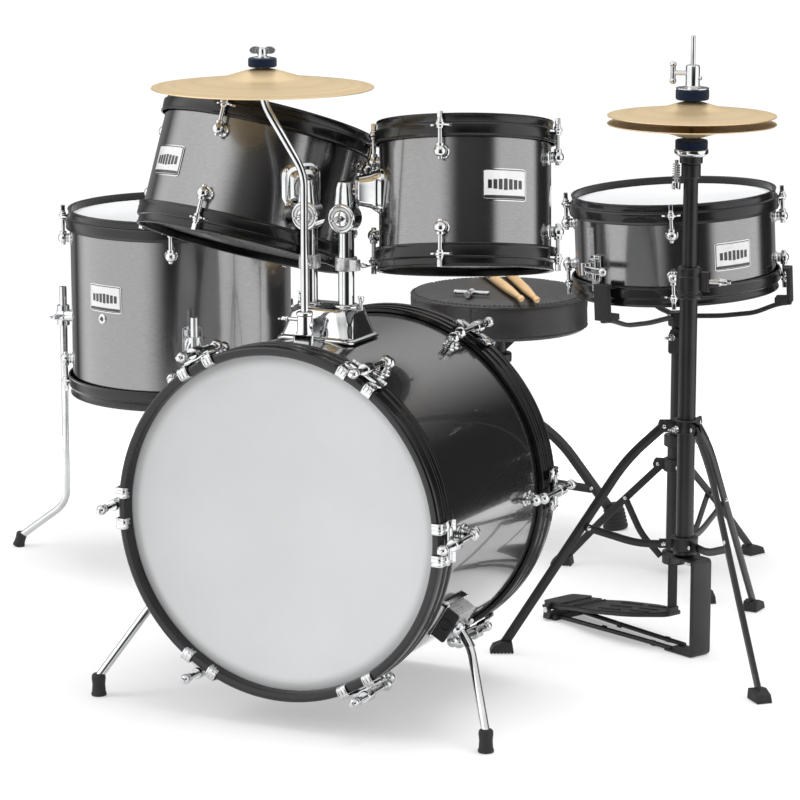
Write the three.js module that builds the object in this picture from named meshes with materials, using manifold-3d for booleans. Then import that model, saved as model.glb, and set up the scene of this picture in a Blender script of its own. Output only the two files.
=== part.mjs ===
// A junior drum kit: bass drum, two hung toms, floor tom, snare on its stand, hi-hat with pedal,
// crash cymbal, throne, a pair of sticks and a drum key.
// Millimetres, +Z up. The kit is laid out from the bass drum: its axis lies along Y at X = 0,
// the front head looks towards -Y and the drummer sits on the +Y side, on the floor Z = 0.
import * as THREE from 'three';
import { mergeVertices } from 'three/addons/utils/BufferGeometryUtils.js';
import Module from 'manifold-3d';

const wasm = await Module();
wasm.setup();

// ---------------------------------------------------------------- driving dimensions
const GAP = 0.4;                 // clearance between neighbouring pieces
const COARSE = 16;               // sides of a small drum
const FINE = 24;                 // sides of a large drum
const ROUND = 12;                // sides of tubes, collars and felts

const WALL = 6;                  // drum shell wall
const RIM_ABOVE_HEAD = 11;       // a rim stands this far above its head
const HOOP_HEIGHT = 27;          // rim to the lower edge of a tom or snare hoop
const HOOP_OUT = 5.4;            // hoop's outer radius beyond the shell
const ROD_OUT = 10.5;            // tension rod circle beyond the shell
const LUG_FROM_RIM = 44;         // lug's height below the rim
const LUGS = 4;                  // lugs round each head of a tom or snare

const BASS = { radius: 203, depth: 328, centreY: 164, centreZ: 241.4, hoopRadius: 209, hoopWidth: 40,
  headInset: 14, claws: 6, clawRadius: 221, lugFromFace: 64 };
const SPUR = { pivot: [190, 84, 122.7], blockY: 96, foot: [255.7, 25.3, 0], tube: 5, boot: 9, bootHeight: 24 };

const TOM_LEFT = { radius: 126, depth: 165, centre: [-141.6, 223.8, 604], axis: [0.11, 0.33, 1], lugAt: -87 };
const TOM_RIGHT = { radius: 100, depth: 174, centre: [144, 204, 606], axis: [-0.1, 0.205, 1], lugAt: -80 };
const FLOOR_TOM = { radius: 150, depth: 255.5, centre: [-481.4, 629.8, 372.2], axis: [0, 0, 1], lugAt: -65,
  legAngles: [-55, 65, 185], legRadius: 181, legTop: 352, legBend: 70, legReach: 75, legTube: 5 };

const MOUNT = { y: 135, postX: 24, post: 9.5, seatZ: 441, top: 471, width: 100, length: 84,
  postTop: 592, postFoot: 452, collarZ: 529, tilterZ: 583, tilter: 15 };
const CRASH = { foot: [-2, 80], seat: 455, bendZ: 640, top: [-44, 60], topBendZ: 722, tip: 774, rod: 4.5,
  radius: 127, edgeZ: 739, bellZ: 761 };

const HAT = { centre: [305, 513], legAngles: [207, 315, 87], legReach: 230, lowTube: 11, highTube: 9,
  frameTop: 124, collarLow: 140, collarHigh: 290, adjustLow: 451, adjustHigh: 490, cupZ: 624,
  bottomEdge: 667, topEdge: 677, bellRise: 18, cymbal: 103, rodTop: 774, pedalAngle: 155.5, heelX: 218, toeX: 14 };
const STAND = { centre: [151, 877], tube: 8.7, legAngles: [190, 67, 307], legReach: 160, collarHigh: 152,
  collarLow: 22, tilterZ: 332, sleeve: 12, armAngles: [-108, 12, 132], armReach: 141, seat: 44 };
const LEAN = [-0.045, -0.02];    // the basket and its snare drum lean this far from upright
const SNARE = { radius: 134.6, depth: 136, axis: [...LEAN, 1], lugAt: -70, lugFromRim: 40, strainerAt: -118,
  centre: [STAND.centre[0] + 130 * LEAN[0], STAND.centre[1] + 130 * LEAN[1], STAND.tilterZ + 130] };
const THRONE = { centre: [-139.8, 930.8], seat: 127, seatTop: 366, seatHeight: 62, post: 14,
  legAngles: [50, 170, 290], legReach: 190, collarHigh: 200, collarLow: 94 };
const STICK = { length: 330, radius: 6.5 };

// ---------------------------------------------------------------- finishes
const finish = (color, roughness, metalness) => ({ color, roughness, metalness });
const FINISH = {
  wrap: finish(0x77777a, 0.25, 0.6), head: finish(0xf2f2f0, 0.45, 0), blackHoop: finish(0x1b1b1c, 0.3, 0.3),
  chrome: finish(0xd8dadc, 0.12, 1), blackSteel: finish(0x1d1d1f, 0.4, 0.4), rubber: finish(0x161616, 0.8, 0),
  brass: finish(0xd7b56a, 0.35, 1), vinyl: finish(0x202022, 0.5, 0), wood: finish(0xdcb47c, 0.5, 0),
  wire: finish(0xb9bcc0, 0.3, 1),
};

// ---------------------------------------------------------------- shape helpers
const { degToRad } = THREE.MathUtils;
const at = (x, y, z) => new THREE.Vector3(x, y, z);
const polar = (radius, degrees, z) => at(radius * Math.cos(degToRad(degrees)),
  radius * Math.sin(degToRad(degrees)), z);

// A closed geometry becomes a solid with its faces pointing out.
function solid(geometry) {
  const bare = geometry.clone();
  bare.deleteAttribute('normal');
  bare.deleteAttribute('uv');
  const merged = mergeVertices(bare, 1e-4);
  const place = merged.attributes.position;
  const corners = [at(0, 0, 0), at(0, 0, 0), at(0, 0, 0)];
  const triangles = [];
  let volume = 0;
  for (let i = 0; i < merged.index.count; i += 3) {
    const [a, b, c] = [0, 1, 2].map((k) => merged.index.getX(i + k));
    if (a === b || b === c || a === c) continue;
    [a, b, c].forEach((vertex, k) => corners[k].fromBufferAttribute(place, vertex));
    volume += corners[0].dot(corners[1].clone().cross(corners[2]));
    triangles.push(a, b, c);
  }
  if (volume < 0) triangles.reverse();
  return new wasm.Manifold(new wasm.Mesh({
    numProp: 3, vertProperties: new Float32Array(place.array), triVerts: new Uint32Array(triangles),
  }));
}

function join(...solids) {
  return solids.reduce((whole, piece) => whole.add(piece));
}

// A straight round bar between two points, tapering when the second radius is given.
function rod(from, to, radius, sides = 8, endRadius = radius) {
  const span = to.clone().sub(from);
  const geometry = new THREE.CylinderGeometry(endRadius, radius, span.length(), sides);
  geometry.applyQuaternion(new THREE.Quaternion().setFromUnitVectors(at(0, 1, 0), span.clone().normalize()));
  geometry.translate(...from.clone().add(to).multiplyScalar(0.5).toArray());
  return solid(geometry);
}

function ball(centre, radius, sides = 8) {
  return solid(new THREE.SphereGeometry(radius, sides, Math.ceil(sides / 2)).translate(...centre.toArray()));
}

// A round bar bent at each inner point of its path.
function bentRod(points, radius, sides = 6) {
  const pieces = points.slice(1).map((point, i) => rod(points[i], point, radius, sides));
  points.slice(1, -1).forEach((point) => pieces.push(ball(point, radius, 6)));
  return join(...pieces);
}

// A profile of [radius, height] points, turned about Z.
function turned(profile, sides, closed = false) {
  const outline = profile.map(([radius, height]) => new THREE.Vector2(radius, height));
  if (closed) outline.push(outline[0].clone());
  return solid(new THREE.LatheGeometry(outline, sides).rotateX(Math.PI / 2));
}

function pipe(inner, outer, low, high, sides) {
  return turned([[inner, low], [outer, low], [outer, high], [inner, high]], sides, true);
}

function block(width, length, height, x, y, z) {
  return solid(new THREE.BoxGeometry(width, length, height).translate(x, y, z));
}

// A flat bar whose middle line runs through [reach, height] points, seen from its side.
function flatBar(points, depth, thickness, side = 0) {
  const line = points.map(([reach, height]) => new THREE.Vector2(reach, height));
  const edge = (sign) => line.map((point, i) => {
    const before = point.clone().sub(line[Math.max(i - 1, 0)]).normalize();
    const after = line[Math.min(i + 1, line.length - 1)].clone().sub(point).normalize();
    const along = before.clone().add(after).normalize();
    const half = (depth / 2) / Math.max(along.dot(i ? before : after), 0.5);
    return point.clone().add(new THREE.Vector2(-along.y, along.x).multiplyScalar(sign * half));
  });
  const outline = new THREE.Shape([...edge(1), ...edge(-1).reverse()]);
  const geometry = new THREE.ExtrudeGeometry(outline, { depth: thickness, bevelEnabled: false });
  return solid(geometry.translate(0, 0, -thickness / 2).rotateX(Math.PI / 2).translate(0, side, 0));
}

// A level plate, cut from an outline of [x, y] points.
function plate(points, low, height) {
  const outline = new THREE.Shape(points.map(([x, y]) => new THREE.Vector2(x, y)));
  return solid(new THREE.ExtrudeGeometry(outline, { depth: height, bevelEnabled: false }).translate(0, 0, low));
}

const spun = (piece, degrees) => piece.rotate([0, 0, degrees]);
const angles = (count, start = 0) => Array.from({ length: count }, (_, i) => start + (i * 360) / count);

// ---------------------------------------------------------------- scene helpers
const kit = new THREE.Group();

function add(parent, name, piece, look) {
  const { vertProperties, triVerts } = piece.getMesh();
  const geometry = new THREE.BufferGeometry();
  geometry.setAttribute('position', new THREE.BufferAttribute(vertProperties, 3));
  geometry.setIndex(new THREE.BufferAttribute(triVerts, 1));
  geometry.computeVertexNormals();
  const mesh = new THREE.Mesh(geometry, new THREE.MeshStandardMaterial(look));
  mesh.name = name;
  parent.add(mesh);
  return mesh;
}

function groupAt(x, y, z = 0, parent = kit) {
  const group = new THREE.Group();
  group.position.set(x, y, z);
  parent.add(group);
  return group;
}

// ---------------------------------------------------------------- drums
// A lug stands out from the shell along +X, centred on the rod that it receives.
function lug(shellRadius, rodRadius, z) {
  const reach = rodRadius - shellRadius;
  const profile = [[0, -WALL / 2], [5.5, -WALL / 2], [4, reach - 6], [6.4, reach + 5.5], [0, reach + 6]];
  return turned(profile, 5).rotate([0, 90, 0]).translate([shellRadius, 0, z]);
}

// A rod hangs from an ear on the hoop and ends just short of its lug.
function tensionRod(radius, rim, lugZ) {
  const sign = Math.sign(rim);
  const earZ = rim - sign * 14;
  const ear = block(12, 20, 4, radius + HOOP_OUT + 3.4, 0, earZ);
  const bar = rod(at(radius + ROD_OUT, 0, lugZ + sign * 7.2), at(radius + ROD_OUT, 0, rim + sign * 2), 2.7, 5);
  return join(ear, bar);
}

function drumHead(radius, level, sign, sides) {
  const flip = (points) => points.map(([r, z]) => [r, sign * z]);
  const ringOut = radius + 2.2;
  return turned(flip([[0, level + 1.6], [ringOut, level + 1.6], [ringOut, level - 8], [radius + GAP, level - 8],
    [radius + GAP, level + GAP], [0, level + GAP]]), sides);
}

function drumHoop(radius, rim, sign, sides) {
  const flip = (points) => points.map(([r, z]) => [r, sign * z]);
  const lip = rim - RIM_ABOVE_HEAD + 2;
  const low = rim - HOOP_HEIGHT;
  return turned(flip([[radius - 0.6, rim], [radius + 2.6, rim], [radius + 2.6, lip + 3], [radius + HOOP_OUT, lip],
    [radius + HOOP_OUT, low], [radius + 2.6, low], [radius + 2.6, lip], [radius - 0.6, lip]]), sides, true);
}

// The bottom hoop and the head that it holds are one piece.
function closedHoop(radius, rim, sides) {
  const level = rim - RIM_ABOVE_HEAD;
  const lip = level + 2;
  const low = rim - HOOP_HEIGHT;
  const profile = [[0, level + GAP], [radius + GAP, level + GAP], [radius + GAP, low], [radius + HOOP_OUT, low],
    [radius + HOOP_OUT, lip], [radius + 2.6, lip + 3], [radius + 2.6, rim], [radius - 0.6, rim],
    [radius - 0.6, level + 1.6], [0, level + 1.6]];
  return turned(profile.map(([r, z]) => [r, -z]), sides);
}

// A drum stands along its own Z. Its four pieces are the shell with its lugs, the batter head,
// the batter hoop with its rods, and the bottom hoop with its rods and head.
function drum(name, spec, sides, fittings = []) {
  const group = groupAt(...spec.centre);
  group.quaternion.setFromUnitVectors(at(0, 0, 1), at(...spec.axis).normalize());
  const rim = spec.depth / 2;
  const level = rim - RIM_ABOVE_HEAD;
  const lugZ = rim - (spec.lugFromRim ?? LUG_FROM_RIM);
  const round = angles(LUGS, spec.lugAt);
  const everyLug = (height) => round.map((turn) => spun(lug(spec.radius, spec.radius + ROD_OUT, height), turn));
  const everyRod = (sign) => round.map((turn) => spun(tensionRod(spec.radius, sign * rim, sign * lugZ), turn));
  const shell = pipe(spec.radius - WALL, spec.radius, -level, level, sides);
  add(group, `${name}_shell`, join(shell, ...everyLug(lugZ), ...everyLug(-lugZ), ...fittings), FINISH.wrap);
  add(group, `${name}_batter_head`, drumHead(spec.radius, level, 1, sides), FINISH.head);
  add(group, `${name}_batter_hoop`, join(drumHoop(spec.radius, rim, 1, sides), ...everyRod(1)), FINISH.blackHoop);
  add(group, `${name}_bottom_hoop`, join(closedHoop(spec.radius, rim, sides), ...everyRod(-1)), FINISH.blackHoop);
  return group;
}

// ---------------------------------------------------------------- bass drum
function bassClaw(sign) {
  const face = BASS.depth / 2;
  const lugZ = face - BASS.lugFromFace;
  const out = BASS.hoopRadius;
  const hook = new THREE.Shape([[out - 1, face - 27], [out + 5.6, face - 27], [out + 5.6, face + 4],
    [out - 10, face + 4], [out - 10, face - 0.5], [out - 1, face - 0.5]].map(([r, z]) => new THREE.Vector2(r, z)));
  const strap = solid(new THREE.ExtrudeGeometry(hook, { depth: 44, bevelEnabled: false })
    .rotateX(Math.PI / 2).translate(0, 22, 0));
  const boss = block(16, 14, 12, BASS.clawRadius - 1, 0, face - 6);
  const bar = rod(at(BASS.clawRadius, 0, lugZ + 7), at(BASS.clawRadius, 0, face + 22), 3.4, 5);
  const handle = block(7, 30, 7, BASS.clawRadius, 0, face + 20);
  const claw = join(strap, boss, bar, handle);
  return sign > 0 ? claw : claw.mirror([0, 0, 1]);
}

function bassHoop(sign) {
  const face = BASS.depth / 2;
  const seat = face - BASS.headInset;
  const flip = (points) => points.map(([r, z]) => [r, sign * z]);
  const ring = turned(flip([[BASS.radius + GAP, face - BASS.hoopWidth], [BASS.hoopRadius, face - BASS.hoopWidth],
    [BASS.hoopRadius, face], [BASS.radius - 6, face], [BASS.radius - 6, seat + GAP],
    [BASS.radius + GAP, seat + GAP]]), FINE, true);
  return join(ring, ...angles(BASS.claws).map((turn) => spun(bassClaw(sign), turn)));
}

function bassHead(sign) {
  const seat = BASS.depth / 2 - BASS.headInset;
  return turned([[0, sign * (seat - 3)], [BASS.radius - GAP, sign * (seat - 3)], [BASS.radius - GAP, sign * seat],
    [0, sign * seat]], FINE);
}

// The spur's hinge block sits on the shell with its flat cheek facing outward.
function spurBlock(side) {
  const [x, , z] = SPUR.pivot;
  const outward = Math.atan2(z - BASS.centreZ, x);
  const body = block(26, 48, 40, BASS.radius + 7, 0, 0).add(block(8, 58, 50, BASS.radius - 1, 0, 0));
  const turnedBlock = body.rotate([0, THREE.MathUtils.radToDeg(-outward), 0]).translate([0, SPUR.blockY, BASS.centreZ]);
  return side > 0 ? turnedBlock : turnedBlock.mirror([1, 0, 0]);
}

function bassDrum() {
  const group = groupAt(0, BASS.centreY, BASS.centreZ);
  group.rotation.x = Math.PI / 2;
  const half = BASS.depth / 2 - BASS.headInset - 3 - GAP;
  const lugZ = BASS.depth / 2 - BASS.lugFromFace;
  const lugs = angles(BASS.claws).flatMap((turn) => [lugZ, -lugZ]
    .map((height) => spun(lug(BASS.radius, BASS.clawRadius, height), turn)));
  const tube = pipe(BASS.radius - WALL, BASS.radius, -half, half, FINE);
  const bore = turned([[0, -half], [BASS.radius - WALL / 2, -half], [BASS.radius - WALL / 2, half], [0, half]], FINE);
  const toDrum = (piece) => piece.translate([0, -BASS.centreY, -BASS.centreZ]).rotate([-90, 0, 0]);
  const blocks = [1, -1].map((side) => toDrum(spurBlock(side)).subtract(bore));
  add(group, 'bass_shell', join(tube, ...lugs, ...blocks), FINISH.wrap);
  add(group, 'bass_front_head', bassHead(1), FINISH.head);
  add(group, 'bass_rear_head', bassHead(-1), FINISH.head);
  add(group, 'bass_front_hoop', bassHoop(1), FINISH.blackHoop);
  add(group, 'bass_rear_hoop', bassHoop(-1), FINISH.blackHoop);
}

// Each spur hangs on a pin outside its hinge block, then runs down and out to a rubber boot.
function spur(name, side) {
  const [x, y, z] = SPUR.pivot;
  const outward = at(x, 0, z - BASS.centreZ).normalize();
  const pin = at(0, y, BASS.centreZ).addScaledVector(outward, BASS.radius + 20 + GAP);
  const head = pin.clone().addScaledVector(outward, 12);
  const elbow = head.clone().add(at(12, -6, -14));
  const foot = at(...SPUR.foot).add(at(0, 0, SPUR.bootHeight));
  const piece = join(rod(pin, head, 9, 10), bentRod([head.clone().addScaledVector(outward, -5), elbow, foot], SPUR.tube),
    rod(at(...SPUR.foot), foot, SPUR.boot, 10, 7));
  add(kit, name, side > 0 ? piece : piece.mirror([1, 0, 0]), FINISH.chrome);
}

// ---------------------------------------------------------------- tom mount, posts and crash cymbal
function mountBase() {
  const { seatZ, top, width, length, postX, post, postFoot } = MOUNT;
  const flange = block(width, length, 16, 0, MOUNT.y, seatZ);
  const side = new THREE.Shape([[-44, 0], [44, 0], [38, top - seatZ], [-38, top - seatZ]]
    .map(([x, z]) => new THREE.Vector2(x, z)));
  const body = solid(new THREE.ExtrudeGeometry(side, { depth: length - 22, bevelEnabled: false })
    .rotateX(Math.PI / 2).translate(0, MOUNT.y + (length - 22) / 2, seatZ));
  const [crashX, crashY] = CRASH.foot;
  const tower = rod(at(crashX, crashY, seatZ), at(crashX, crashY, CRASH.seat + 24), 9, 10);
  const web = block(14, 24, 30, crashX, crashY + 16, seatZ + 15);
  const screw = rod(at(crashX - 22, crashY, CRASH.seat + 14), at(crashX, crashY, CRASH.seat + 14), 3, 6);
  const wing = block(3, 14, 8, crashX - 21, crashY, CRASH.seat + 14);
  const bores = [-postX, postX].map((x) => rod(at(x, MOUNT.y, postFoot), at(x, MOUNT.y, top + 9), post + GAP, 16));
  const crashBore = rod(at(crashX, crashY, CRASH.seat), at(crashX, crashY, CRASH.seat + 40), CRASH.rod + GAP, 12);
  const shellBore = rod(at(0, -9, BASS.centreZ), at(0, 300, BASS.centreZ), BASS.radius + 1.2, 64);
  const whole = join(flange, body, tower, web, screw, wing).subtract(shellBore).subtract(join(...bores, crashBore));
  add(kit, 'mount_base', whole, FINISH.chrome);
}

// A post carries a lock collar, a round tilter and a stub arm that reaches for its tom.
function tomPost(name, side, armAngle, armReach, armZ) {
  const x = side * MOUNT.postX;
  const group = groupAt(x, MOUNT.y);
  const { post, postFoot, postTop, collarZ, tilterZ, tilter } = MOUNT;
  const tube = rod(at(0, 0, postFoot + GAP), at(0, 0, postTop), post, 12);
  const collar = rod(at(0, 0, collarZ - 8), at(0, 0, collarZ + 8), post + 3.5, 12);
  const bolt = rod(at(0, 0, collarZ), at(22, -4, collarZ), 3, 6);
  const disc = rod(at(0, -15, tilterZ), at(0, 11, tilterZ), tilter, 12);
  const neck = rod(at(0, 0, tilterZ), at(0, 0, armZ), 11, 10);
  const arm = spun(rod(at(0, 0, armZ), at(armReach, 0, armZ), 7.5, 10), armAngle);
  add(group, name, join(tube, collar, bolt, disc, neck, arm), FINISH.chrome);
}

// The bracket on a hung tom: a plate on the shell and an open cup that receives the post's arm.
function cupBracket(tom, side, armZ, armStart) {
  const post = at(side * MOUNT.postX, MOUNT.y, armZ);
  const centre = at(...tom.centre);
  const turnTo = new THREE.Quaternion().setFromUnitVectors(at(0, 0, 1), at(...tom.axis).normalize()).invert();
  const level = Math.atan2(centre.y - post.y, centre.x - post.x);
  const inward = at(Math.cos(level), Math.sin(level), 0);
  const reach = Math.hypot(centre.x - post.x, centre.y - post.y);
  const cup = rod(post.clone().addScaledVector(inward, armStart), post.clone().addScaledVector(inward, reach), 14, 12);
  const bore = rod(post.clone().addScaledVector(inward, armStart - 5),
    post.clone().addScaledVector(inward, armStart + 14), 7.5 + GAP, 12);
  const flange = rod(post.clone().addScaledVector(inward, reach - tom.radius - 4),
    post.clone().addScaledVector(inward, reach), 22, 12);
  const euler = new THREE.Matrix4().makeRotationFromQuaternion(turnTo)
    .multiply(new THREE.Matrix4().makeTranslation(-centre.x, -centre.y, -centre.z));
  const room = rod(at(0, 0, -tom.depth), at(0, 0, tom.depth), tom.radius - WALL / 2, 24);
  return join(cup, flange).subtract(bore).transform(euler.toArray()).subtract(room);
}

const ARMS = [
  { side: -1, tom: TOM_LEFT, z: 614, cupStart: 12 },
  { side: 1, tom: TOM_RIGHT, z: 614, cupStart: 12 },
].map((arm) => {
  const dx = arm.tom.centre[0] - arm.side * MOUNT.postX;
  const dy = arm.tom.centre[1] - MOUNT.y;
  return { ...arm, angle: THREE.MathUtils.radToDeg(Math.atan2(dy, dx)) };
});

function cymbal(radius, edge, bell, hole) {
  const rise = bell - edge;
  const dome = (r) => edge + rise * 0.42 * (1 - (r / radius) ** 1.6);
  const top = [[radius, edge], [radius * 0.65, dome(radius * 0.65)], [radius * 0.3, dome(radius * 0.3)],
    [radius * 0.17, bell - Math.sign(rise) * 2], [hole, bell]];
  const under = top.slice().reverse().map(([r, z]) => [r, z - 1.6]);
  return turned([...top, ...under], COARSE + 4, true);
}

function crashCymbal() {
  const [footX, footY] = CRASH.foot;
  const [topX, topY] = CRASH.top;
  const path = [at(footX, footY, CRASH.seat + GAP), at(footX, footY, CRASH.bendZ), at(topX, topY, CRASH.topBendZ),
    at(topX, topY, CRASH.tip)];
  const cup = rod(at(topX, topY, CRASH.bellZ - 18), at(topX, topY, CRASH.bellZ - 4), 11, 12, 7);
  add(kit, 'crash_arm', join(bentRod(path, CRASH.rod), cup), FINISH.chrome);
  const group = groupAt(topX, topY);
  add(group, 'crash_cymbal', cymbal(CRASH.radius, CRASH.edgeZ, CRASH.bellZ, 6.2), FINISH.brass);
  const bore = CRASH.rod + GAP;
  const felt = turned([[bore, CRASH.bellZ + 1], [20, CRASH.bellZ + 4], [20, CRASH.bellZ + 11], [bore,
    CRASH.bellZ + 11]], ROUND, true);
  const nut = pipe(bore, 7.5, CRASH.bellZ + 10.5, CRASH.bellZ + 20, 10);
  const wings = block(34, 3, 9, 0, 0, CRASH.bellZ + 19).subtract(rod(at(0, 0, CRASH.bellZ),
    at(0, 0, CRASH.bellZ + 60), bore, 10));
  add(group, 'crash_wing_nut', join(felt, nut, wings), FINISH.chrome);
}

// ---------------------------------------------------------------- stands
const boot = (reach) => plate([[reach - 16, -9], [reach + 12, -11], [reach + 12, 11], [reach - 16, 9]], 0, 13);

// Folding legs hang from a sliding collar between two ears; each has a brace at its side.
const LEG_THICK = 5;
const BRACE_SIDE = 4.6;
const HAT_LEG = [[28, HAT.collarHigh], [74, 248], [HAT.legReach - 4, 9]];
const HAT_BRACE = [[26, HAT.collarLow], [60, 141], [124, 162]];

function legCollar(inner, z, ears) {
  const ring = pipe(inner, 17, z - 9, z + 9, ROUND);
  const cheek = (turn, side) => spun(block(20, 2.6, 14, 24, side, z), turn);
  return join(ring, ...ears.flatMap((turn) => [cheek(turn, -4.5), cheek(turn, 4.5)]));
}

// The frame under the hi-hat tube is bent from one strap; two rods run from it to the heel plate.
function pedalFrame() {
  const width = 32;
  const top = block(50, width, 3, -8, 0, HAT.frameTop - 1.5);
  const front = block(3, width, HAT.frameTop, -31.5, 0, HAT.frameTop / 2);
  const bottom = block(50, width, 3, -8, 0, 1.5);
  const runners = [-1, 1].map((side) => rod(at(10, side * 12, 4), at(HAT.heelX, side * 20, 5), 3, 6));
  const heel = plate([[HAT.heelX - 12, -30], [HAT.heelX + 12, -30], [HAT.heelX + 12, 30], [HAT.heelX - 12, 30]], 0, 8);
  const ears = [-1, 1].map((side) => block(12, 3, 18, HAT.heelX, side * 33, 11));
  const ties = [-1, 1].map((side) => block(12, 10, 5, HAT.heelX, side * 30, 4));
  return join(top, front, bottom, ...runners, heel, ...ears, ...ties);
}

function footboard() {
  const board = plate([[HAT.heelX + 6, -26], [HAT.heelX + 6, 26], [HAT.heelX - 60, 30], [HAT.heelX - 90, 36],
    [HAT.toeX + 50, 33], [HAT.toeX, 14], [HAT.toeX, -14], [HAT.toeX + 50, -33], [HAT.heelX - 90, -36],
    [HAT.heelX - 60, -30]], 0, 6);
  const pin = rod(at(HAT.heelX, -30.8, 3), at(HAT.heelX, 30.8, 3), 4, 8);
  const slope = Math.atan2(28, HAT.heelX - HAT.toeX);
  const tilted = join(board, pin).translate([-HAT.heelX, 0, 0])
    .rotate([0, THREE.MathUtils.radToDeg(slope), 0]).translate([HAT.heelX, 0, 15]);
  const strap = block(2.6, 16, HAT.frameTop - 3.6 - 44, HAT.toeX + 6, 0, (HAT.frameTop - 3.6 + 44) / 2);
  return join(tilted, strap);
}

function hiHat() {
  const group = groupAt(...HAT.centre);
  const { lowTube, highTube, adjustLow, adjustHigh, cupZ } = HAT;
  const pedal = groupAt(0, 0, 0, group);
  pedal.rotation.z = degToRad(HAT.pedalAngle);
  add(pedal, 'hihat_base_frame', pedalFrame(), FINISH.blackSteel);
  add(pedal, 'hihat_footboard', footboard(), FINISH.blackSteel);

  const lowInner = highTube + GAP;
  const tube = pipe(lowInner, lowTube, HAT.frameTop + GAP, adjustLow + 1, ROUND);
  const adjuster = pipe(lowInner, 16, adjustLow, adjustHigh, ROUND);
  const adjustBolt = rod(at(12, 3, 472), at(34, 10, 472), 3.5, 6);
  const braceRing = pipe(lowTube - 1, 17, HAT.collarLow - 9, HAT.collarLow + 9, ROUND);
  const braceEars = HAT.legAngles.map((turn) => spun(block(18, 2.6, 12, 23, BRACE_SIDE - 3.4, HAT.collarLow), turn));
  add(group, 'hihat_lower_tube', join(tube, adjuster, adjustBolt, braceRing, ...braceEars), FINISH.blackSteel);
  add(group, 'hihat_leg_collar', legCollar(lowTube + GAP, HAT.collarHigh, HAT.legAngles), FINISH.blackSteel);
  HAT.legAngles.forEach((turn, i) => {
    const letter = 'abc'[i];
    const leg = join(flatBar(HAT_LEG, 12, LEG_THICK), boot(HAT.legReach));
    add(group, `hihat_leg_${letter}`, spun(leg, turn), FINISH.blackSteel);
    add(group, `hihat_brace_${letter}`, spun(flatBar(HAT_BRACE, 10, 3, BRACE_SIDE), turn), FINISH.blackSteel);
  });

  const bellLow = HAT.bottomEdge - HAT.bellRise;
  const bellHigh = HAT.topEdge + HAT.bellRise;
  const innerTube = pipe(highTube - 2, highTube, 300, cupZ - 6, 12);
  const sleeve = pipe(highTube - 2, 12, 600, cupZ - 4, 12);
  const cup = turned([[highTube - 2, cupZ - 6], [14, cupZ - 6], [21, cupZ + 4], [21, cupZ + 12], [highTube - 2,
    cupZ + 12]], ROUND, true);
  const feltLow = pipe(4, 20, cupZ + 11.5, bellLow - 2, ROUND);
  const tiltScrew = join(rod(at(-16, -8, 622), at(-16, -8, 596), 3, 6), rod(at(-16, -8, 600), at(-16, -8, 588), 5.5, 6));
  add(group, 'hihat_upper_tube', join(innerTube, sleeve, cup, feltLow, tiltScrew), FINISH.blackSteel);
  add(group, 'hihat_bottom_cymbal', cymbal(HAT.cymbal, HAT.bottomEdge, bellLow, 5), FINISH.brass);
  add(group, 'hihat_top_cymbal', cymbal(HAT.cymbal, HAT.topEdge, bellHigh, 5), FINISH.brass);
  add(group, 'hihat_pull_rod', rod(at(0, 0, 320), at(0, 0, HAT.rodTop), 2.8, 8), FINISH.chrome);
  const clutchFelt = pipe(2.8 + GAP, 20.5, bellHigh + GAP, 712, ROUND);
  const clutch = pipe(2.8 + GAP, 7.5, 711, 740, 10);
  const clutchScrew = rod(at(-7, 0, 730), at(-26, -4, 730), 3, 6);
  add(group, 'hihat_clutch', join(clutchFelt, clutch, clutchScrew), FINISH.chrome);
}

// The snare stand: a fixed tripod with its tube, a sliding upper tube and a tilting basket.
const STAND_LEG = [[18, STAND.collarHigh], [100, 69], [STAND.legReach - 6, 9]];
const STAND_BRACE = [[18, STAND.collarLow], [46, 52], [70, 103]];

function snareStand() {
  const group = groupAt(...STAND.centre);
  const { tube, sleeve } = STAND;
  const legs = STAND.legAngles.map((turn) => spun(join(flatBar(STAND_LEG, 10, 5), boot(STAND.legReach),
    flatBar(STAND_BRACE, 9, 5)), turn));
  const trunk = pipe(tube + GAP, sleeve, 12, 190, ROUND);
  const collars = [[STAND.collarHigh, 9], [STAND.collarLow, 9], [186, 8]]
    .map(([z, half]) => pipe(tube + GAP, 17, z - half, z + half, ROUND));
  const bolt = rod(at(14, 0, 186), at(32, 6, 186), 3.2, 6);
  add(group, 'snare_stand_tripod', join(trunk, ...collars, ...legs, bolt), FINISH.blackSteel);

  const { tilterZ } = STAND;
  const upper = rod(at(0, 0, 90), at(0, 0, tilterZ - 12), tube, 12);
  const cheeks = [-1, 1].map((side) => block(20, 4, 34, 0, side * 9, tilterZ - 6));
  const bridge = block(20, 22, 10, 0, 0, tilterZ - 20);
  const wing = rod(at(0, -11, tilterZ), at(0, -26, tilterZ), 3.2, 6);
  add(group, 'snare_stand_upper_tube', join(upper, bridge, ...cheeks, wing), FINISH.blackSteel);

  const basket = groupAt(0, 0, tilterZ, group);
  basket.quaternion.setFromUnitVectors(at(0, 0, 1), at(...LEAN, 1).normalize());
  const { armReach, seat, armAngles } = STAND;
  const hub = join(block(16, 12, 24, 0, 0, 2), rod(at(0, 0, 13), at(0, 0, 32), 13, ROUND));
  const grip = (turn) => {
    const arm = flatBar([[6, 26], [60, 26], [105, 30], [armReach, seat + 4]], 7, 10);
    const pad = join(block(22, 26, 8, armReach + 4, 0, seat + 4), block(6, 26, 48, armReach + 12.5, 0, seat + 24));
    return spun(join(arm, pad), turn);
  };
  add(basket, 'snare_basket', join(hub, ...armAngles.map(grip)), FINISH.blackSteel);
}

// ---------------------------------------------------------------- snare drum fittings
function strainerBlock() {
  const body = join(block(14, 18, 30, SNARE.radius + 5, 0, -20), block(8, 9, 14, SNARE.radius + 15, 0, -18));
  return spun(body, SNARE.strainerAt);
}

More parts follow.
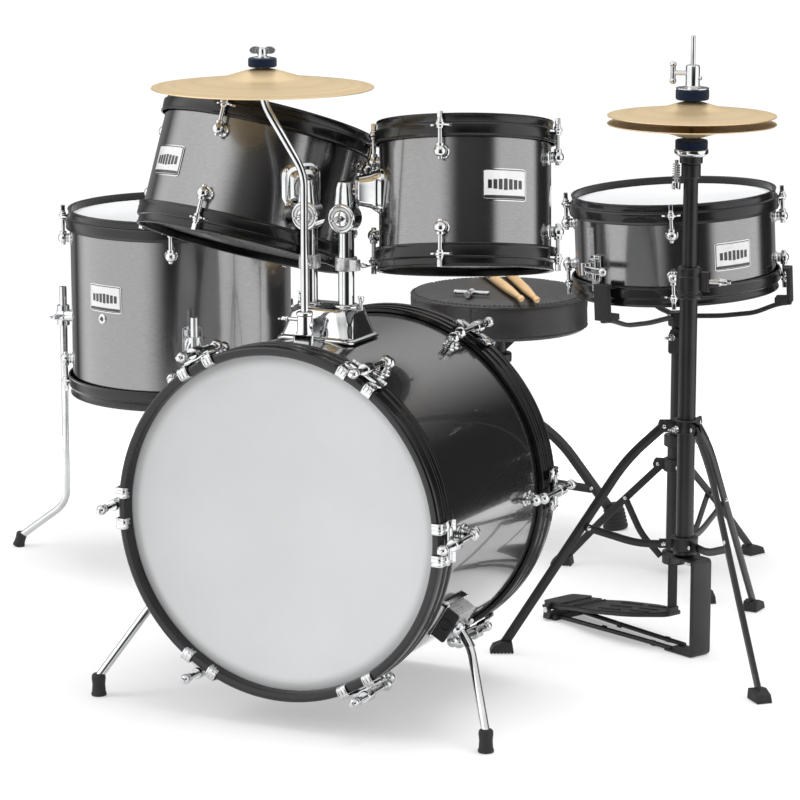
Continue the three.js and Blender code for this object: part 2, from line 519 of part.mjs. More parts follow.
function snareDrum() {
  const group = drum('snare', SNARE, COARSE, [strainerBlock()]);
  const lever = join(rod(at(0, 0, -8), at(0, 0, 8), 4.6, 8), block(6, 42, 9, 2, 22, 0), ball(at(2, 42, 0), 6.5));
  const hinge = polar(SNARE.radius + 24.5, SNARE.strainerAt, -18);
  add(group, 'snare_strainer_lever', spun(lever, SNARE.strainerAt).translate(hinge.toArray()), FINISH.chrome);
  const below = -SNARE.depth / 2 + RIM_ABOVE_HEAD - 4.4;
  const wires = join(block(210, 36, 1.6, 0, 0, below), ...[-1, 1].map((end) => block(9, 42, 2.6, end * 106, 0, below)));
  add(group, 'snare_wires', spun(wires, SNARE.strainerAt), FINISH.wire);
}

// ---------------------------------------------------------------- floor tom legs
function floorTom() {
  const { radius, centre, legAngles, legRadius, legTop, legBend, legReach, legTube } = FLOOR_TOM;
  const bracket = (turn) => {
    const body = join(block(14, 26, 52, radius + 5, 0, 338 - centre[2]), block(36, 17, 26, radius + 21, 0, 338 - centre[2]));
    const bore = rod(at(legRadius, 0, -120), at(legRadius, 0, 90), legTube + GAP, 12);
    return spun(body.subtract(bore), turn);
  };
  drum('floor_tom', FLOOR_TOM, FINE, legAngles.map(bracket));
  const group = groupAt(centre[0], centre[1]);
  legAngles.forEach((turn, i) => {
    const foot = at(legRadius + legReach, 0, 14);
    const shaft = bentRod([at(legRadius, 0, legTop + 26), at(legRadius, 0, legBend), foot], legTube);
    const tip = rod(at(legRadius + legReach + 7, 0, 0), at(legRadius + legReach - 2, 0, 19), 8.5, 10, 7);
    add(group, `floor_tom_leg_${'abc'[i]}`, spun(join(shaft, tip.trimByPlane([0, 0, 1], 0)), turn), FINISH.chrome);
  });
}

// ---------------------------------------------------------------- throne, sticks and key
function throne() {
  const group = groupAt(...THRONE.centre);
  const { seat, seatTop, seatHeight, post, collarHigh, collarLow, legReach, legAngles } = THRONE;
  const low = seatTop - seatHeight;
  add(group, 'throne_seat', turned([[0, low + 4], [seat - 6, low + 4], [seat, low + 10], [seat, seatTop - 9],
    [seat - 8, seatTop], [0, seatTop]], FINE), FINISH.vinyl);
  const flange = rod(at(0, 0, low - 6), at(0, 0, low + 4 - GAP), 45, 16);
  add(group, 'throne_post', join(rod(at(0, 0, 130), at(0, 0, low - 5), post - 3, 12), flange), FINISH.blackSteel);
  const legs = legAngles.map((turn) => {
    const bar = flatBar([[16, collarHigh], [97, 141], [legReach - 12, 32]], 15, 6);
    const brace = flatBar([[16, collarLow], [150, 62]], 12, 6);
    const foot = rod(at(legReach, 0, 0), at(legReach - 4, 0, 36), 18, 12, 14);
    return spun(join(bar, brace, foot), turn);
  });
  const trunk = pipe(post - 3 + GAP, post + 2, 60, 225, ROUND);
  const collars = [collarHigh, collarLow].map((z) => pipe(post - 2, 23, z - 11, z + 11, ROUND));
  const whole = join(trunk, ...collars, ...legs).trimByPlane([0, 0, 1], 0);
  add(group, 'throne_tripod', whole, FINISH.blackSteel);
}

function loosePieces() {
  const group = groupAt(...THRONE.centre, THRONE.seatTop + GAP);
  const stick = [[0, 0], [2.6, 0.6], [4.2, 4], [4.6, 8], [3.2, 12], [4.4, 24], [STICK.radius, 90],
    [STICK.radius, STICK.length - 3], [4.6, STICK.length], [0, STICK.length]];
  [['stick_a', 107, -103, 125], ['stick_b', 85, -105, 128]].forEach(([name, x, y, heading]) => {
    const piece = add(group, name, turned(stick, 10).rotate([0, 90, 0]), FINISH.wood);
    piece.position.set(x, y, STICK.radius);
    piece.rotation.z = degToRad(heading);
  });
  const key = join(rod(at(0, -24, 4.5), at(0, 24, 4.5), 3.4, 8), rod(at(-20, 0, 5), at(9, 0, 5), 5, 8));
  const drumKey = add(group, 'drum_key', key, FINISH.chrome);
  drumKey.position.set(-8, -70, 0);
  drumKey.rotation.z = degToRad(100);
}

// ---------------------------------------------------------------- the kit
bassDrum();
spur('spur_right', 1);
spur('spur_left', -1);
mountBase();
tomPost('tom_post_left', -1, ARMS[0].angle, 21, ARMS[0].z);
tomPost('tom_post_right', 1, ARMS[1].angle, 24, ARMS[1].z);
drum('tom_left', TOM_LEFT, COARSE, [cupBracket(TOM_LEFT, -1, ARMS[0].z, ARMS[0].cupStart)]);
drum('tom_right', TOM_RIGHT, COARSE, [cupBracket(TOM_RIGHT, 1, ARMS[1].z, ARMS[1].cupStart)]);
crashCymbal();
floorTom();
snareStand();
snareDrum();
hiHat();
throne();
loosePieces();

// The origin is moved to the middle of the footprint, on the floor.
const extent = new THREE.Box3().setFromObject(kit, true);
kit.position.set(-(extent.min.x + extent.max.x) / 2, -(extent.min.y + extent.max.y) / 2, -extent.min.z);

export default kit;
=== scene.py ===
import functools
import math
from types import SimpleNamespace as Sizes

import bmesh
import bpy
from mathutils import Matrix, Vector


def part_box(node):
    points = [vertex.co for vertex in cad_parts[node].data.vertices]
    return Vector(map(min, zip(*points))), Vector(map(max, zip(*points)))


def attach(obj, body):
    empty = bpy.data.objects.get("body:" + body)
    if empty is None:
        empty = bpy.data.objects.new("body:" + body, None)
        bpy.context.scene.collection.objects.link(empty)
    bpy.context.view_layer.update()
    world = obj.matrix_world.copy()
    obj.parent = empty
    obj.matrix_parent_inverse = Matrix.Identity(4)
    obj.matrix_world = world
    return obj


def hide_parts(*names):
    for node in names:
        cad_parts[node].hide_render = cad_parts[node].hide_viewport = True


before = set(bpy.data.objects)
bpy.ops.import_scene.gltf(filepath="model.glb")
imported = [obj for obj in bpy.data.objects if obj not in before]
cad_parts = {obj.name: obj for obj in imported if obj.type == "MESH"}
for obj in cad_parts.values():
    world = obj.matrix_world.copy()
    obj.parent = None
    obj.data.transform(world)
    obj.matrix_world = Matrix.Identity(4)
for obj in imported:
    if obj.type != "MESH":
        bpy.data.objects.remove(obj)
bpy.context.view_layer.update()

MM = 0.001
UP = Vector((0, 0, 1))
SIDE = Vector((0, 1, 0))
AHEAD = Vector((1, 0, 0))
HOME = Matrix.Identity(4)

# ---- sizes, in millimetres
WALL = 6
RIM_ABOVE_HEAD = 11
ROD_OUT = 10.5                   # tension rod circle beyond the shell
EAR_BELOW_RIM = 14
DRUMS = {                        # first lug's angle, lug's height below the rim, badge's angle and height
    "tom_left": dict(lug_at=-87, lug_from_rim=44, badge_at=-121, badge_z=-6),
    "tom_right": dict(lug_at=-80, lug_from_rim=44, badge_at=-38, badge_z=6),
    "floor_tom": dict(lug_at=-65, lug_from_rim=44, badge_at=-103, badge_z=20),
    "snare": dict(lug_at=-70, lug_from_rim=40, badge_at=-34, badge_z=-6),
}
BADGE = (57, 37)
BASS = Sizes(radius=203, half=164, hoop=209, claws=6, claw_radius=221, lug_from_face=64, spur_box=96)
HOOK_SPREAD = 18.5
STRAINER_AT = -118
LEVER = Sizes(out=24.5, reach=42, z=-18)
TOM_POST = Sizes(collar=529, tilter=583, arm=614)
LEG_AT = [-55, 65, 185]          # floor tom legs
VENT_AT = -105                   # floor tom vent
FLOOR_LEG = Sizes(radius=181, top=378, bend=70, reach=75, tube=5, bracket_z=338)
CRASH = Sizes(radius=127, edge=739, bell=761, rod=4.5, bend=640, high_bend=722)
HAT = Sizes(legs=[207, 315, 87], reach=230, low_tube=11, high_tube=9, frame_top=124, collar_low=140,
            collar_high=290, adjust=(451, 490), cup=624, bottom_edge=667, top_edge=677, rise=18, radius=103,
            pedal_at=155.5, heel=218, toe=14)
STAND = Sizes(tube=8.7, legs=[190, 67, 307], reach=160, collar_high=152, collar_low=22, tilter=332,
              arms=[-108, 12, 132], arm_reach=141, seat=44)
FLOOR_RADIUS = 1200
LENS, SENSOR = 148.5, 36.0
EYE = (1.7445, -3.4095, 0.903)   # metres from the bass drum's middle
LOOK_DOWN, LOOK_LEFT = 0.2022, 0.4543
DIM, SOFT, WHITE = 0.03, 0.66, 1.05
THRONE = Sizes(post=14, legs=[50, 170, 290], reach=190, collar_high=200, collar_low=94)


# ---- places, from the frame
def points_of(node):
    """The node's own corners, in millimetres, each once."""
    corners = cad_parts[node].data.vertices
    return [Vector(p) for p in {tuple(round(c / MM, 2) for c in v.co) for v in corners}]


def middle(points):
    return sum(points, Vector()) / len(points)


def foot_of(node):
    """The middle of the node's lowest ring of corners."""
    points = points_of(node)
    low = min(p.z for p in points)
    return middle([p for p in points if p.z < low + 0.05])


def top_of(node):
    points = points_of(node)
    high = max(p.z for p in points)
    return middle([p for p in points if p.z > high - 0.05])


def box_middle(*nodes):
    corners = [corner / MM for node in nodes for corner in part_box(node)]
    return Vector([(min(c[i] for c in corners) + max(c[i] for c in corners)) / 2 for i in range(3)])


def at(x, y, z=0.0):
    return Matrix.Translation((x, y, z))


def spin(degrees, axis="Z"):
    return Matrix.Rotation(math.radians(degrees), 4, axis)


def polar(radius, degrees, z=0.0):
    return Vector((radius * math.cos(math.radians(degrees)), radius * math.sin(math.radians(degrees)), z))


def outward(shape, reach, y=0.0, z=0.0):
    """The shape's Z goes outward along X, from reach."""
    return moved(shape, at(reach, y, z) @ spin(90, "Y"))


def leaning(origin, axis):
    """The frame at origin whose Z lies along axis, turned the shortest way."""
    return at(*origin) @ UP.rotation_difference(axis).to_matrix().to_4x4()


def drum_frame(name):
    """A drum's own frame at its middle, its shell radius and the height of its rim."""
    batter, bottom = (points_of(f"{name}_{end}_hoop") for end in ("batter", "bottom"))
    axis = (middle(batter) - middle(bottom)).normalized()
    high, low = max(p.dot(axis) for p in batter), min(p.dot(axis) for p in bottom)
    centre = middle(batter)
    centre += axis * ((high + low) / 2 - centre.dot(axis))
    place = leaning(centre, axis)
    inward = place.inverted()
    radius = max(Vector((inward @ p).xy).length for p in points_of(f"{name}_batter_head")) - 2.2
    return place, radius, (high - low) / 2 - 2


# ---- shapes: (points, faces)
def merge(*shapes):
    points, faces = [], []
    for some_points, some_faces in shapes:
        base = len(points)
        points += some_points
        faces += [[base + i for i in face] for face in some_faces]
    return points, faces


def moved(shape, matrix):
    return [matrix @ point for point in shape[0]], shape[1]


def around(shape, angles):
    return merge(*[moved(shape, spin(angle)) for angle in angles])


def turned(shapes, angle):
    return [moved(shape, spin(angle)) for shape in shapes]


def pair(shape, y):
    """Two of the shape, each y from the middle."""
    return [moved(shape, at(0, side * y)) for side in (-1, 1)]


def flipped(shape, sign=-1):
    """The shape turned over about X, or left as it is where sign is 1."""
    return shape if sign > 0 else ([Vector((p.x, -p.y, -p.z)) for p in shape[0]], shape[1])


def both_ends(shape, angles):
    """The shape round a drum's one end, and below it round the other."""
    return [around(shape, angles), flipped(around(shape, [-a for a in angles]))]


def every(count, start=0.0):
    return [start + i * 360 / count for i in range(count)]


def skin(rings, closed=False):
    """Faces between rings of equally many points; an open skin is capped at both ends."""
    count = len(rings[0])
    points = [Vector(p) for ring in rings for p in ring]
    faces = []
    for i in range(len(rings) if closed else len(rings) - 1):
        low, high = i * count, (i + 1) % len(rings) * count
        faces += [[low + j, low + (j + 1) % count, high + (j + 1) % count, high + j] for j in range(count)]
    if not closed:
        faces += [list(reversed(range(count))), list(range(len(points) - count, len(points)))]
    return points, faces


def circle(radius, sides, z=0.0):
    steps = [2 * math.pi * i / sides for i in range(sides)]
    return [Vector((radius * math.cos(a), radius * math.sin(a), z)) for a in steps]


def lathe(profile, sides=48, closed=False, z=0.0):
    """A profile of (radius, height) points turned about Z; the heights count from z."""
    return skin([circle(radius, sides, z + up) for radius, up in profile], closed)


def ring(inner, outer, low, high, sides=48):
    return lathe([(inner, low), (outer, low), (outer, high), (inner, high)], sides, closed=True)


def ball(centre, radius, sides=20, flat=1.0):
    steps = [math.pi * i / (sides // 2) for i in range(sides // 2 + 1)]
    profile = [(radius * math.sin(a), -radius * flat * math.cos(a)) for a in steps]
    return moved(lathe(profile, sides), at(*centre))


def rounded(points, radius, steps=6):
    """A path whose inner corners are rounded."""
    points = [Vector(p) for p in points]
    path = [points[0]]
    for before, corner, after in zip(points, points[1:], points[2:]):
        enter = corner + (before - corner).normalized() * min(radius, (before - corner).length / 2)
        leave = corner + (after - corner).normalized() * min(radius, (after - corner).length / 2)
        for i in range(steps + 1):
            t = i / steps
            path.append(enter.lerp(corner, t).lerp(corner.lerp(leave, t), t))
    return path + [points[-1]]


def sweep(path, section, side=SIDE, closed=False):
    """A section of (across, outward) points carried along a path; across lies along side."""
    path = [Vector(p) for p in path]
    rings = []
    for i, point in enumerate(path):
        before = path[i - 1] if closed or i else point
        after = path[(i + 1) % len(path)] if closed or i < len(path) - 1 else point
        along = (after - before).normalized()
        out = along.cross(side).normalized()
        across = out.cross(along)
        rings.append([point + across * u + out * v for u, v in section])
    return skin(rings, closed)


def tube(path, radius, sides=16, closed=False):
    path = [Vector(p) for p in path]
    span = path[-1] - path[0] if not closed else path[1] - path[0]
    side = min((AHEAD, SIDE, UP), key=lambda axis: abs(axis.dot(span.normalized())))
    return sweep(path, [(p.x, p.y) for p in circle(radius, sides)], side, closed)


def bar(start, end, radius, sides=20):
    return tube([start, end], radius, sides)


def rect(width, length, corner=0.0, steps=4):
    """The outline of a level rectangle with rounded corners."""
    if not corner:
        return [(-width / 2, -length / 2), (width / 2, -length / 2), (width / 2, length / 2),
                (-width / 2, length / 2)]
    outline = []
    for quarter, (sx, sy) in enumerate([(1, 1), (-1, 1), (-1, -1), (1, -1)]):
        for i in range(steps + 1):
            a = math.pi / 2 * (quarter + i / steps)
            outline.append((sx * (width / 2 - corner) + corner * math.cos(a),
                            sy * (length / 2 - corner) + corner * math.sin(a)))
    return outline


def prism(outline, low, high):
    return skin([[(x, y, low) for x, y in outline], [(x, y, high) for x, y in outline]])


def block(width, length, height, x=0.0, y=0.0, z=0.0, corner=0.0):
    return moved(prism(rect(width, length, corner), -height / 2, height / 2), at(x, y, z))


def standing(outline, half_width):
    """An outline of (x, z) points, as thick as twice half_width along Y."""
    return skin([[(x, -half_width, z) for x, z in outline], [(x, half_width, z) for x, z in outline]])


def strap(points, width, thick, bend=6.0, side=0.0):
    """A flat bar seen from its side through (reach, height) points; width lies in that side view."""
    path = rounded([(x, side, z) for x, z in points], bend)
    return sweep(path, [(u, v) for u, v in rect(thick, width, min(thick, width) * 0.3, 2)])


def ribbon(points, width, thick, bend=6.0):
    """A flat strip whose width lies along Y, bent through (reach, height) points."""
    path = rounded([(x, 0, z) for x, z in points], bend)
    return sweep(path, rect(width, thick, thick * 0.3, 2))


def on_axis(shape, origin, direction):
    """The shape's Z goes along direction from origin."""
    turn = Vector(direction).to_track_quat("Z", "Y").to_matrix().to_4x4()
    return moved(shape, at(*origin) @ turn)


def wing_nut(size=1.0, tilt=-28):
    """A hub with two raised ears, standing on Z = 0; tilt leans the ears outward."""
    hub = lathe([(0, 0), (4.6, 0), (4.6, 1.5), (3.6, 3), (3.4, 8), (2.6, 9), (0, 9)], 20)
    ear = [(8.2 + 5.2 * math.cos(a), 8 + 3.4 * math.sin(a)) for a in (math.radians(d) for d in every(16))]
    root = [(2.2, 1.5), (6.5, 4.8), (5.5, 9.5), (2.2, 7.5)]
    wings = [moved(shape, spin(turn)) for turn in (0, 180)
             for shape in (moved(standing(ear, 1.2), spin(tilt, "Y") @ at(-2, 0, -0.5)), standing(root, 1.3))]
    return moved(merge(hub, *wings), Matrix.Scale(size, 4))


def wing_screw(length, size=1.0, radius=2.4):
    return merge(bar((0, 0, 0), (0, 0, length), radius, 12), moved(wing_nut(size), at(0, 0, length - 2)))


def rivet(radius=3.2):
    return lathe([(0, -0.6), (radius, -0.6), (radius, 0.3), (radius * 0.7, 1.4), (0, 1.9)], 16)


def hex_bolt(size=4.0, height=3.2):
    return lathe([(0, 0), (size, 0), (size, height * 0.8), (size * 0.85, height), (0, height)], 6)


# ---- materials
def shader_node(tree, kind, inputs=(), **settings):
    node = tree.nodes.new("ShaderNode" + kind)
    for key, value in settings.items():
        setattr(node, key, value)
    for key, value in dict(inputs).items():
        if isinstance(value, bpy.types.NodeSocket):
            tree.links.new(value, node.inputs[key])
        else:
            node.inputs[key].default_value = value
    return node


class Look:
    """A Principled shader whose colour, roughness and bump come from procedural nodes."""

    def __init__(self, name, metallic=0.0, sockets=()):
        self.material = bpy.data.materials.new(name)
        self.material.use_nodes = True
        self.tree = self.material.node_tree
        self.shader = self.tree.nodes["Principled BSDF"]
        self.shader.inputs["Metallic"].default_value = metallic
        for socket, value in dict(sockets).items():
            self.shader.inputs[socket].default_value = value

    def node(self, kind, inputs=(), **settings):
        return shader_node(self.tree, kind, inputs, **settings)

    def coords(self, stretch=(1, 1, 1)):
        place = self.node("TexCoord").outputs["Object"]
        return self.node("Mapping", {"Vector": place, "Scale": stretch}).outputs["Vector"]

    def noise(self, scale, detail=2.0, stretch=(1, 1, 1), rough=0.5):
        settings = {"Vector": self.coords(stretch), "Scale": scale, "Detail": detail, "Roughness": rough}
        return self.node("TexNoise", settings).outputs[0]

    def cells(self, scale):
        return self.node("TexVoronoi", {"Vector": self.coords(), "Scale": scale}).outputs["Distance"]

    def rings(self, scale):
        """Noise that changes only with the distance from the object's own Z axis."""
        reach = self.node("VectorMath", {0: self.coords((1, 1, 0))}, operation="LENGTH").outputs["Value"]
        return self.node("TexNoise", {"W": reach, "Scale": scale, "Detail": 3.0},
                         noise_dimensions="1D").outputs[0]

    def remap(self, value, low, high, start=0.3, end=0.7):
        settings = {"Value": value, "From Min": start, "From Max": end, "To Min": low, "To Max": high}
        return self.node("MapRange", settings).outputs["Result"]

    def color(self, value, first, second):
        ramp = self.node("ValToRGB", {"Fac": value})
        for element, place, tone in zip(ramp.color_ramp.elements, (0.3, 0.7), (first, second)):
            element.position = place
            element.color = (*tone, 1)
        self.tree.links.new(ramp.outputs["Color"], self.shader.inputs["Base Color"])
        return self

    def rough(self, value, low, high):
        self.tree.links.new(self.remap(value, low, high), self.shader.inputs["Roughness"])
        return self

    def bump(self, height, strength, distance):
        settings = {"Height": height, "Strength": strength, "Distance": distance}
        before = self.shader.inputs["Normal"].links
        if before:
            settings["Normal"] = before[0].from_socket
        self.tree.links.new(self.node("Bump", settings).outputs["Normal"], self.shader.inputs["Normal"])
        return self


def grey(value, tint=(1, 1, 1)):
    return tuple(value * t for t in tint)


def coat(weight, rough, shine=0.5):
    return {"Coat Weight": weight, "Coat Roughness": rough, "Specular IOR Level": shine}


BRUSHED = (240, 4, (0.5, 0.5, 14), 0.75)
MILKY, COOL = (0.99, 1, 1.01), (0.98, 0.99, 1)
SAME = None                      # the pattern that the colour has
# look: the material's name, a slot name, metallic, sockets, then each pattern with what it gives: two
# colours, the roughness, the bumps' strength and height. A pattern is a kind and its numbers, or noise's.
LOOKS = {
    "wrap": ("wrap", "wrap", 0.97, coat(1, 0.02), (BRUSHED, grey(0.16), grey(0.25)),
             ((900, 2), 0.13, 0.19), (SAME, 0.1, 0.0003)),
    "head": ("head", "head", 0, coat(0.15, 0.35), ((9, 4), grey(0.59, MILKY), grey(0.63, MILKY)),
             (SAME, 0.4, 0.5), ((900, 2), 0.08, 0.0003)),
    "gloss": ("gloss_black", "black_hoop", 0, coat(0.3, 0.04, 0.28), ((22, 4), grey(0.004), grey(0.008)),
              (SAME, 0.2, 0.32), ((240, 2), 0.05, 0.0004)),
    "steel": ("satin_black_steel", "black_steel", 0, coat(0.1, 0.25, 0.4),
              ((30, 4), grey(0.005), grey(0.011)), ((1500, 2), 0.34, 0.48), ((1500, 2), 0.14, 0.0003)),
    "chrome": ("chrome", "chrome", 1, {}, ((45, 4), grey(0.54, COOL), grey(0.66, COOL)),
               (SAME, 0.04, 0.1), ((120, 3), 0.02, 0.0004)),
    "satin": ("satin_metal", "chrome", 0.72, {}, ((90, 3, (1, 1, 9)), grey(0.5), grey(0.62)),
              (SAME, 0.26, 0.4), ((700, 2), 0.12, 0.0003)),
    "cast": ("bright_casting", "cast_mount", 1, {}, ((30, 4), grey(0.58, COOL), grey(0.72, COOL)),
             (SAME, 0.05, 0.11), ((60, 2), 0.03, 0.0006)),
    "rubber": ("black_rubber", "black_steel", 0, {"Specular IOR Level": 0.35},
               ((140, 4), grey(0.011), grey(0.026)), (SAME, 0.55, 0.75), ((1100, 2), 0.25, 0.0004)),
    "brass": ("satin_brass", "brass", 0.7, {"Anisotropic": 0.4},
              (("rings", 70), (0.69, 0.52, 0.30), (0.77, 0.60, 0.36)),
              (("rings", 900), 0.3, 0.46), (("rings", 900), 0.3, 0.0002)),
    "felt": ("dark_felt", "black_steel", 0,
             {"Sheen Weight": 0.12, "Sheen Roughness": 0.5, "Specular IOR Level": 0.2},
             ((900, 5, (1, 1, 2), 0.7), (0.002, 0.006, 0.018), (0.006, 0.018, 0.05)),
             (SAME, 0.8, 0.95), (SAME, 0.6, 0.0012)),
    "vinyl": ("black_vinyl", "vinyl", 0, coat(0.2, 0.35), ((14, 4), grey(0.010), grey(0.021)),
              (("cells", 620), 0.36, 0.52), (("cells", 620), 0.35, 0.0005), ((45, 3), 0.15, 0.002)),
    "maple": ("maple", "wood", 0, coat(0.4, 0.15),
              ((130, 5, (0.05, 1, 1), 0.65), (0.60, 0.35, 0.14), (0.80, 0.57, 0.30)),
              (SAME, 0.34, 0.5), (SAME, 0.15, 0.0004)),
    "wire": ("bright_wire", "wire", 1, {}, ((400, 2, (8, 1, 1)), grey(0.35), grey(0.75)),
             (SAME, 0.2, 0.36), (SAME, 0.4, 0.0004)),
    "white": ("badge_white", "head", 0, coat(0.5, 0.1), ((60, 3), grey(0.72), grey(0.8)),
              (SAME, 0.25, 0.35), ((800, 2), 0.04, 0.0002)),
    "ink": ("badge_black", "black_hoop", 0, coat(0.5, 0.1), ((60, 3), grey(0.008), grey(0.014)),
            (SAME, 0.25, 0.35), ((800, 2), 0.04, 0.0002)),
    "strip": ("frosted_strip", "head", 0, {**coat(0.4, 0.15), "Transmission Weight": 0.35},
              ((80, 3), grey(0.42), grey(0.52)), (SAME, 0.2, 0.34), ((500, 2), 0.05, 0.0003)),
}
made_looks = {}


def material(name):
    if name not in made_looks:
        title, _, metallic, sockets, (base, dark, light), rough, *bumps = LOOKS[name]
        look = Look(title, metallic, sockets)

        def pattern(given):
            kind, *numbers = given or base
            return getattr(look, kind)(*numbers) if isinstance(kind, str) else look.noise(kind, *numbers)

        look.color(pattern(base), dark, light).rough(pattern(rough[0]), *rough[1:])
        for height, *amounts in bumps:
            look.bump(pattern(height), *amounts)
        made_looks[name] = look.material
    return made_looks[name]


# ---- pieces
def new_object(name, shape, place, look, sharp=32):
    """An object from a shape in millimetres in the frame place."""
    mesh = bpy.data.meshes.new(name)
    mesh.from_pydata([p * MM for p in shape[0]], [], shape[1])
    edit = bmesh.new()
    edit.from_mesh(mesh)
    bmesh.ops.remove_doubles(edit, verts=edit.verts, dist=2e-6)
    bmesh.ops.recalc_face_normals(edit, faces=edit.faces)
    edit.to_mesh(mesh)
    edit.free()
    mesh.materials.append(material(look))
    mesh.shade_smooth()
    mesh.set_sharp_from_angle(angle=math.radians(sharp))
    item = bpy.data.objects.new(name, mesh)
    bpy.context.scene.collection.objects.link(item)
    item.matrix_world = Matrix.Translation(place.translation * MM) @ place.to_3x3().to_4x4()
    return item


def build(name, body, place, layers, bevel=0.4, nodes=None):
    """One object for each look in layers; all ride on the body and stand for nodes, or for name's own."""
    if nodes is None:
        nodes = (name,)
    for look, shapes in layers.items():
        item = new_object(f"{name}_{look}", merge(*shapes), place, look)
        if bevel:
            edge = item.modifiers.new("edges", "BEVEL")
            edge.width, edge.segments, edge.limit_method = bevel * MM, 2, "ANGLE"
            edge.angle_limit, edge.harden_normals = math.radians(38), False
        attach(item, body)
        if nodes:
            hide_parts(*nodes)


def hoop_profile(radius, rim):
    """A rolled upper flange, a step and a wider rolled skirt."""
    steps = [(-0.6, -9.2), (-0.6, -1.3), (0, -0.4), (1.6, 0), (3.4, -0.3), (4, -1.3), (3.4, -2.5),
             (2.6, -3.2), (2.4, -8.4), (3, -9.9), (4.8, -10.8), (6, -11.8), (6.4, -13.2), (6.2, -20.5),
             (5.8, -23.4), (6.6, -24.6), (7.1, -25.7), (6.7, -26.8), (5.6, -27), (4.6, -26.4), (4.4, -13.4),
             (2.4, -11.8), (0.4, -10.8)]
    return [(radius + out * (0.84 if out > 0 else 1), rim + up) for out, up in steps]


def drum_head(radius, level):
    return lathe([(0, 1.2), (radius - 13, 1.2), (radius - 11.5, 1.9), (radius - 9, 1.9), (radius - 7.5, 0.9),
                  (radius - 1.2, 0.7), (radius - 1.2, -4), (0, -4)], 128, z=level)


def ear_outline(radius):
    """A flared ear, wide at the hoop and round at the rod."""
    tip = radius + ROD_OUT
    flare = rounded([(radius + 2.5, 17, 0), (radius + 6.8, 8, 0), (tip + 1, 6, 0), (tip + 6.2, 0, 0)], 5, 5)
    return [(p.x, p.y) for p in flare] + [(p.x, -p.y) for p in reversed(flare[:-1])]


def tension_rod(radius, rim, lug_z):
    """Ear, washer, square-headed screw and the thin rod that runs to the lug, along +X."""
    ear_z, rod = rim - EAR_BELOW_RIM, radius + ROD_OUT
    ear = prism(ear_outline(radius), ear_z - 1.3, ear_z + 1)
    web = standing([(radius + 5.6, ear_z), (rod - 2, ear_z), (radius + 6.6, ear_z - 11),
                    (radius + 5.6, ear_z - 12)], 1.2)
    screw = lathe([(0, 0), (5.6, 0), (5.6, 2.4), (4.4, 2.8), (4.2, 5.4), (3.2, 6), (3.1, 8), (0, 8)], 20)
    head = block(5.6, 5.6, 7.6, 0, 0, 11.4, 0.8)
    below = lathe([(0, -4.5), (3.6, -4.5), (4.2, -3.6), (4.2, -1), (0, -1)], 16)
    shaft = bar((0, 0, lug_z + 5 - ear_z), (0, 0, 0), 2.5, 14)
    return merge(ear, web, moved(merge(screw, head, below, shaft), at(rod, 0, ear_z)))


def ball_lug(radius, rod, z):
    """A ball on a short post, with a washer on the shell and a neck that takes the rod."""
    reach = rod - radius
    post = lathe([(0, -2), (8.4, -2), (8.6, 0.6), (7.6, 1.8), (5.4, 2.4), (6.6, 4), (6.4, 5.6), (4.2, 6.8),
                  (4, reach), (0, reach)], 24)
    neck = lathe([(0, 4), (4.6, 4), (4.6, 8.6), (3.9, 9.4), (0, 9.4)], 18)
    nub = lathe([(0, -9.4), (2.4, -9.4), (3, -8.4), (3.2, -5), (0, -5)], 14)
    return moved(merge(outward(post, -reach, 0), ball((0, 0, 0), 7.3), neck, nub), at(rod, 0, z))


def curved_plate(radius, angle, z, width, height, thick, corner=2.0):
    """A plate bent round the shell."""
    columns = 14
    rings = []
    for i in range(columns + 1):
        x = width * (i / columns - 0.5)
        inset = max(0.0, abs(x) - (width / 2 - corner))
        half = height / 2 - corner + math.sqrt(max(0.0, corner ** 2 - inset ** 2))
        a = math.radians(angle) + x / radius
        edges = ((radius - 0.3, -1), (radius + thick, -1), (radius + thick, 1), (radius - 0.3, 1))
        rings.append([Vector((r * math.cos(a), r * math.sin(a), z + side * half)) for r, side in edges])
    return skin(rings)


def badge(name, body, place, radius, angle, z):
    """A framed plate with a plain ornament of upright bars and a dark footing line."""
    width, height = BADGE

    def plate(w, h, thick, up=0.0, turn=0.0, corner=1.2):
        return curved_plate(radius, angle + turn, z + up, w, h, thick, corner)

    bars = [plate(4.6, 13 - 1.1 * abs(i), 1.62, 0.5, math.degrees(i * 6.4 / radius), 0.3)
            for i in range(-3, 4)]
    layers = {
        "chrome": [plate(width, height, 0.9, corner=1.6)],
        "ink": [plate(width - 2.4, height - 2.4, 1.15, corner=0.8), *bars,
                plate(width - 5, 3.6, 1.62, -height / 2 + 4.6, corner=0.3)],
        "white": [plate(width - 4.6, height - 4.6, 1.4, corner=0.6)],
    }
    build(f"{name}_badge", body, place, layers, 0, nodes=())


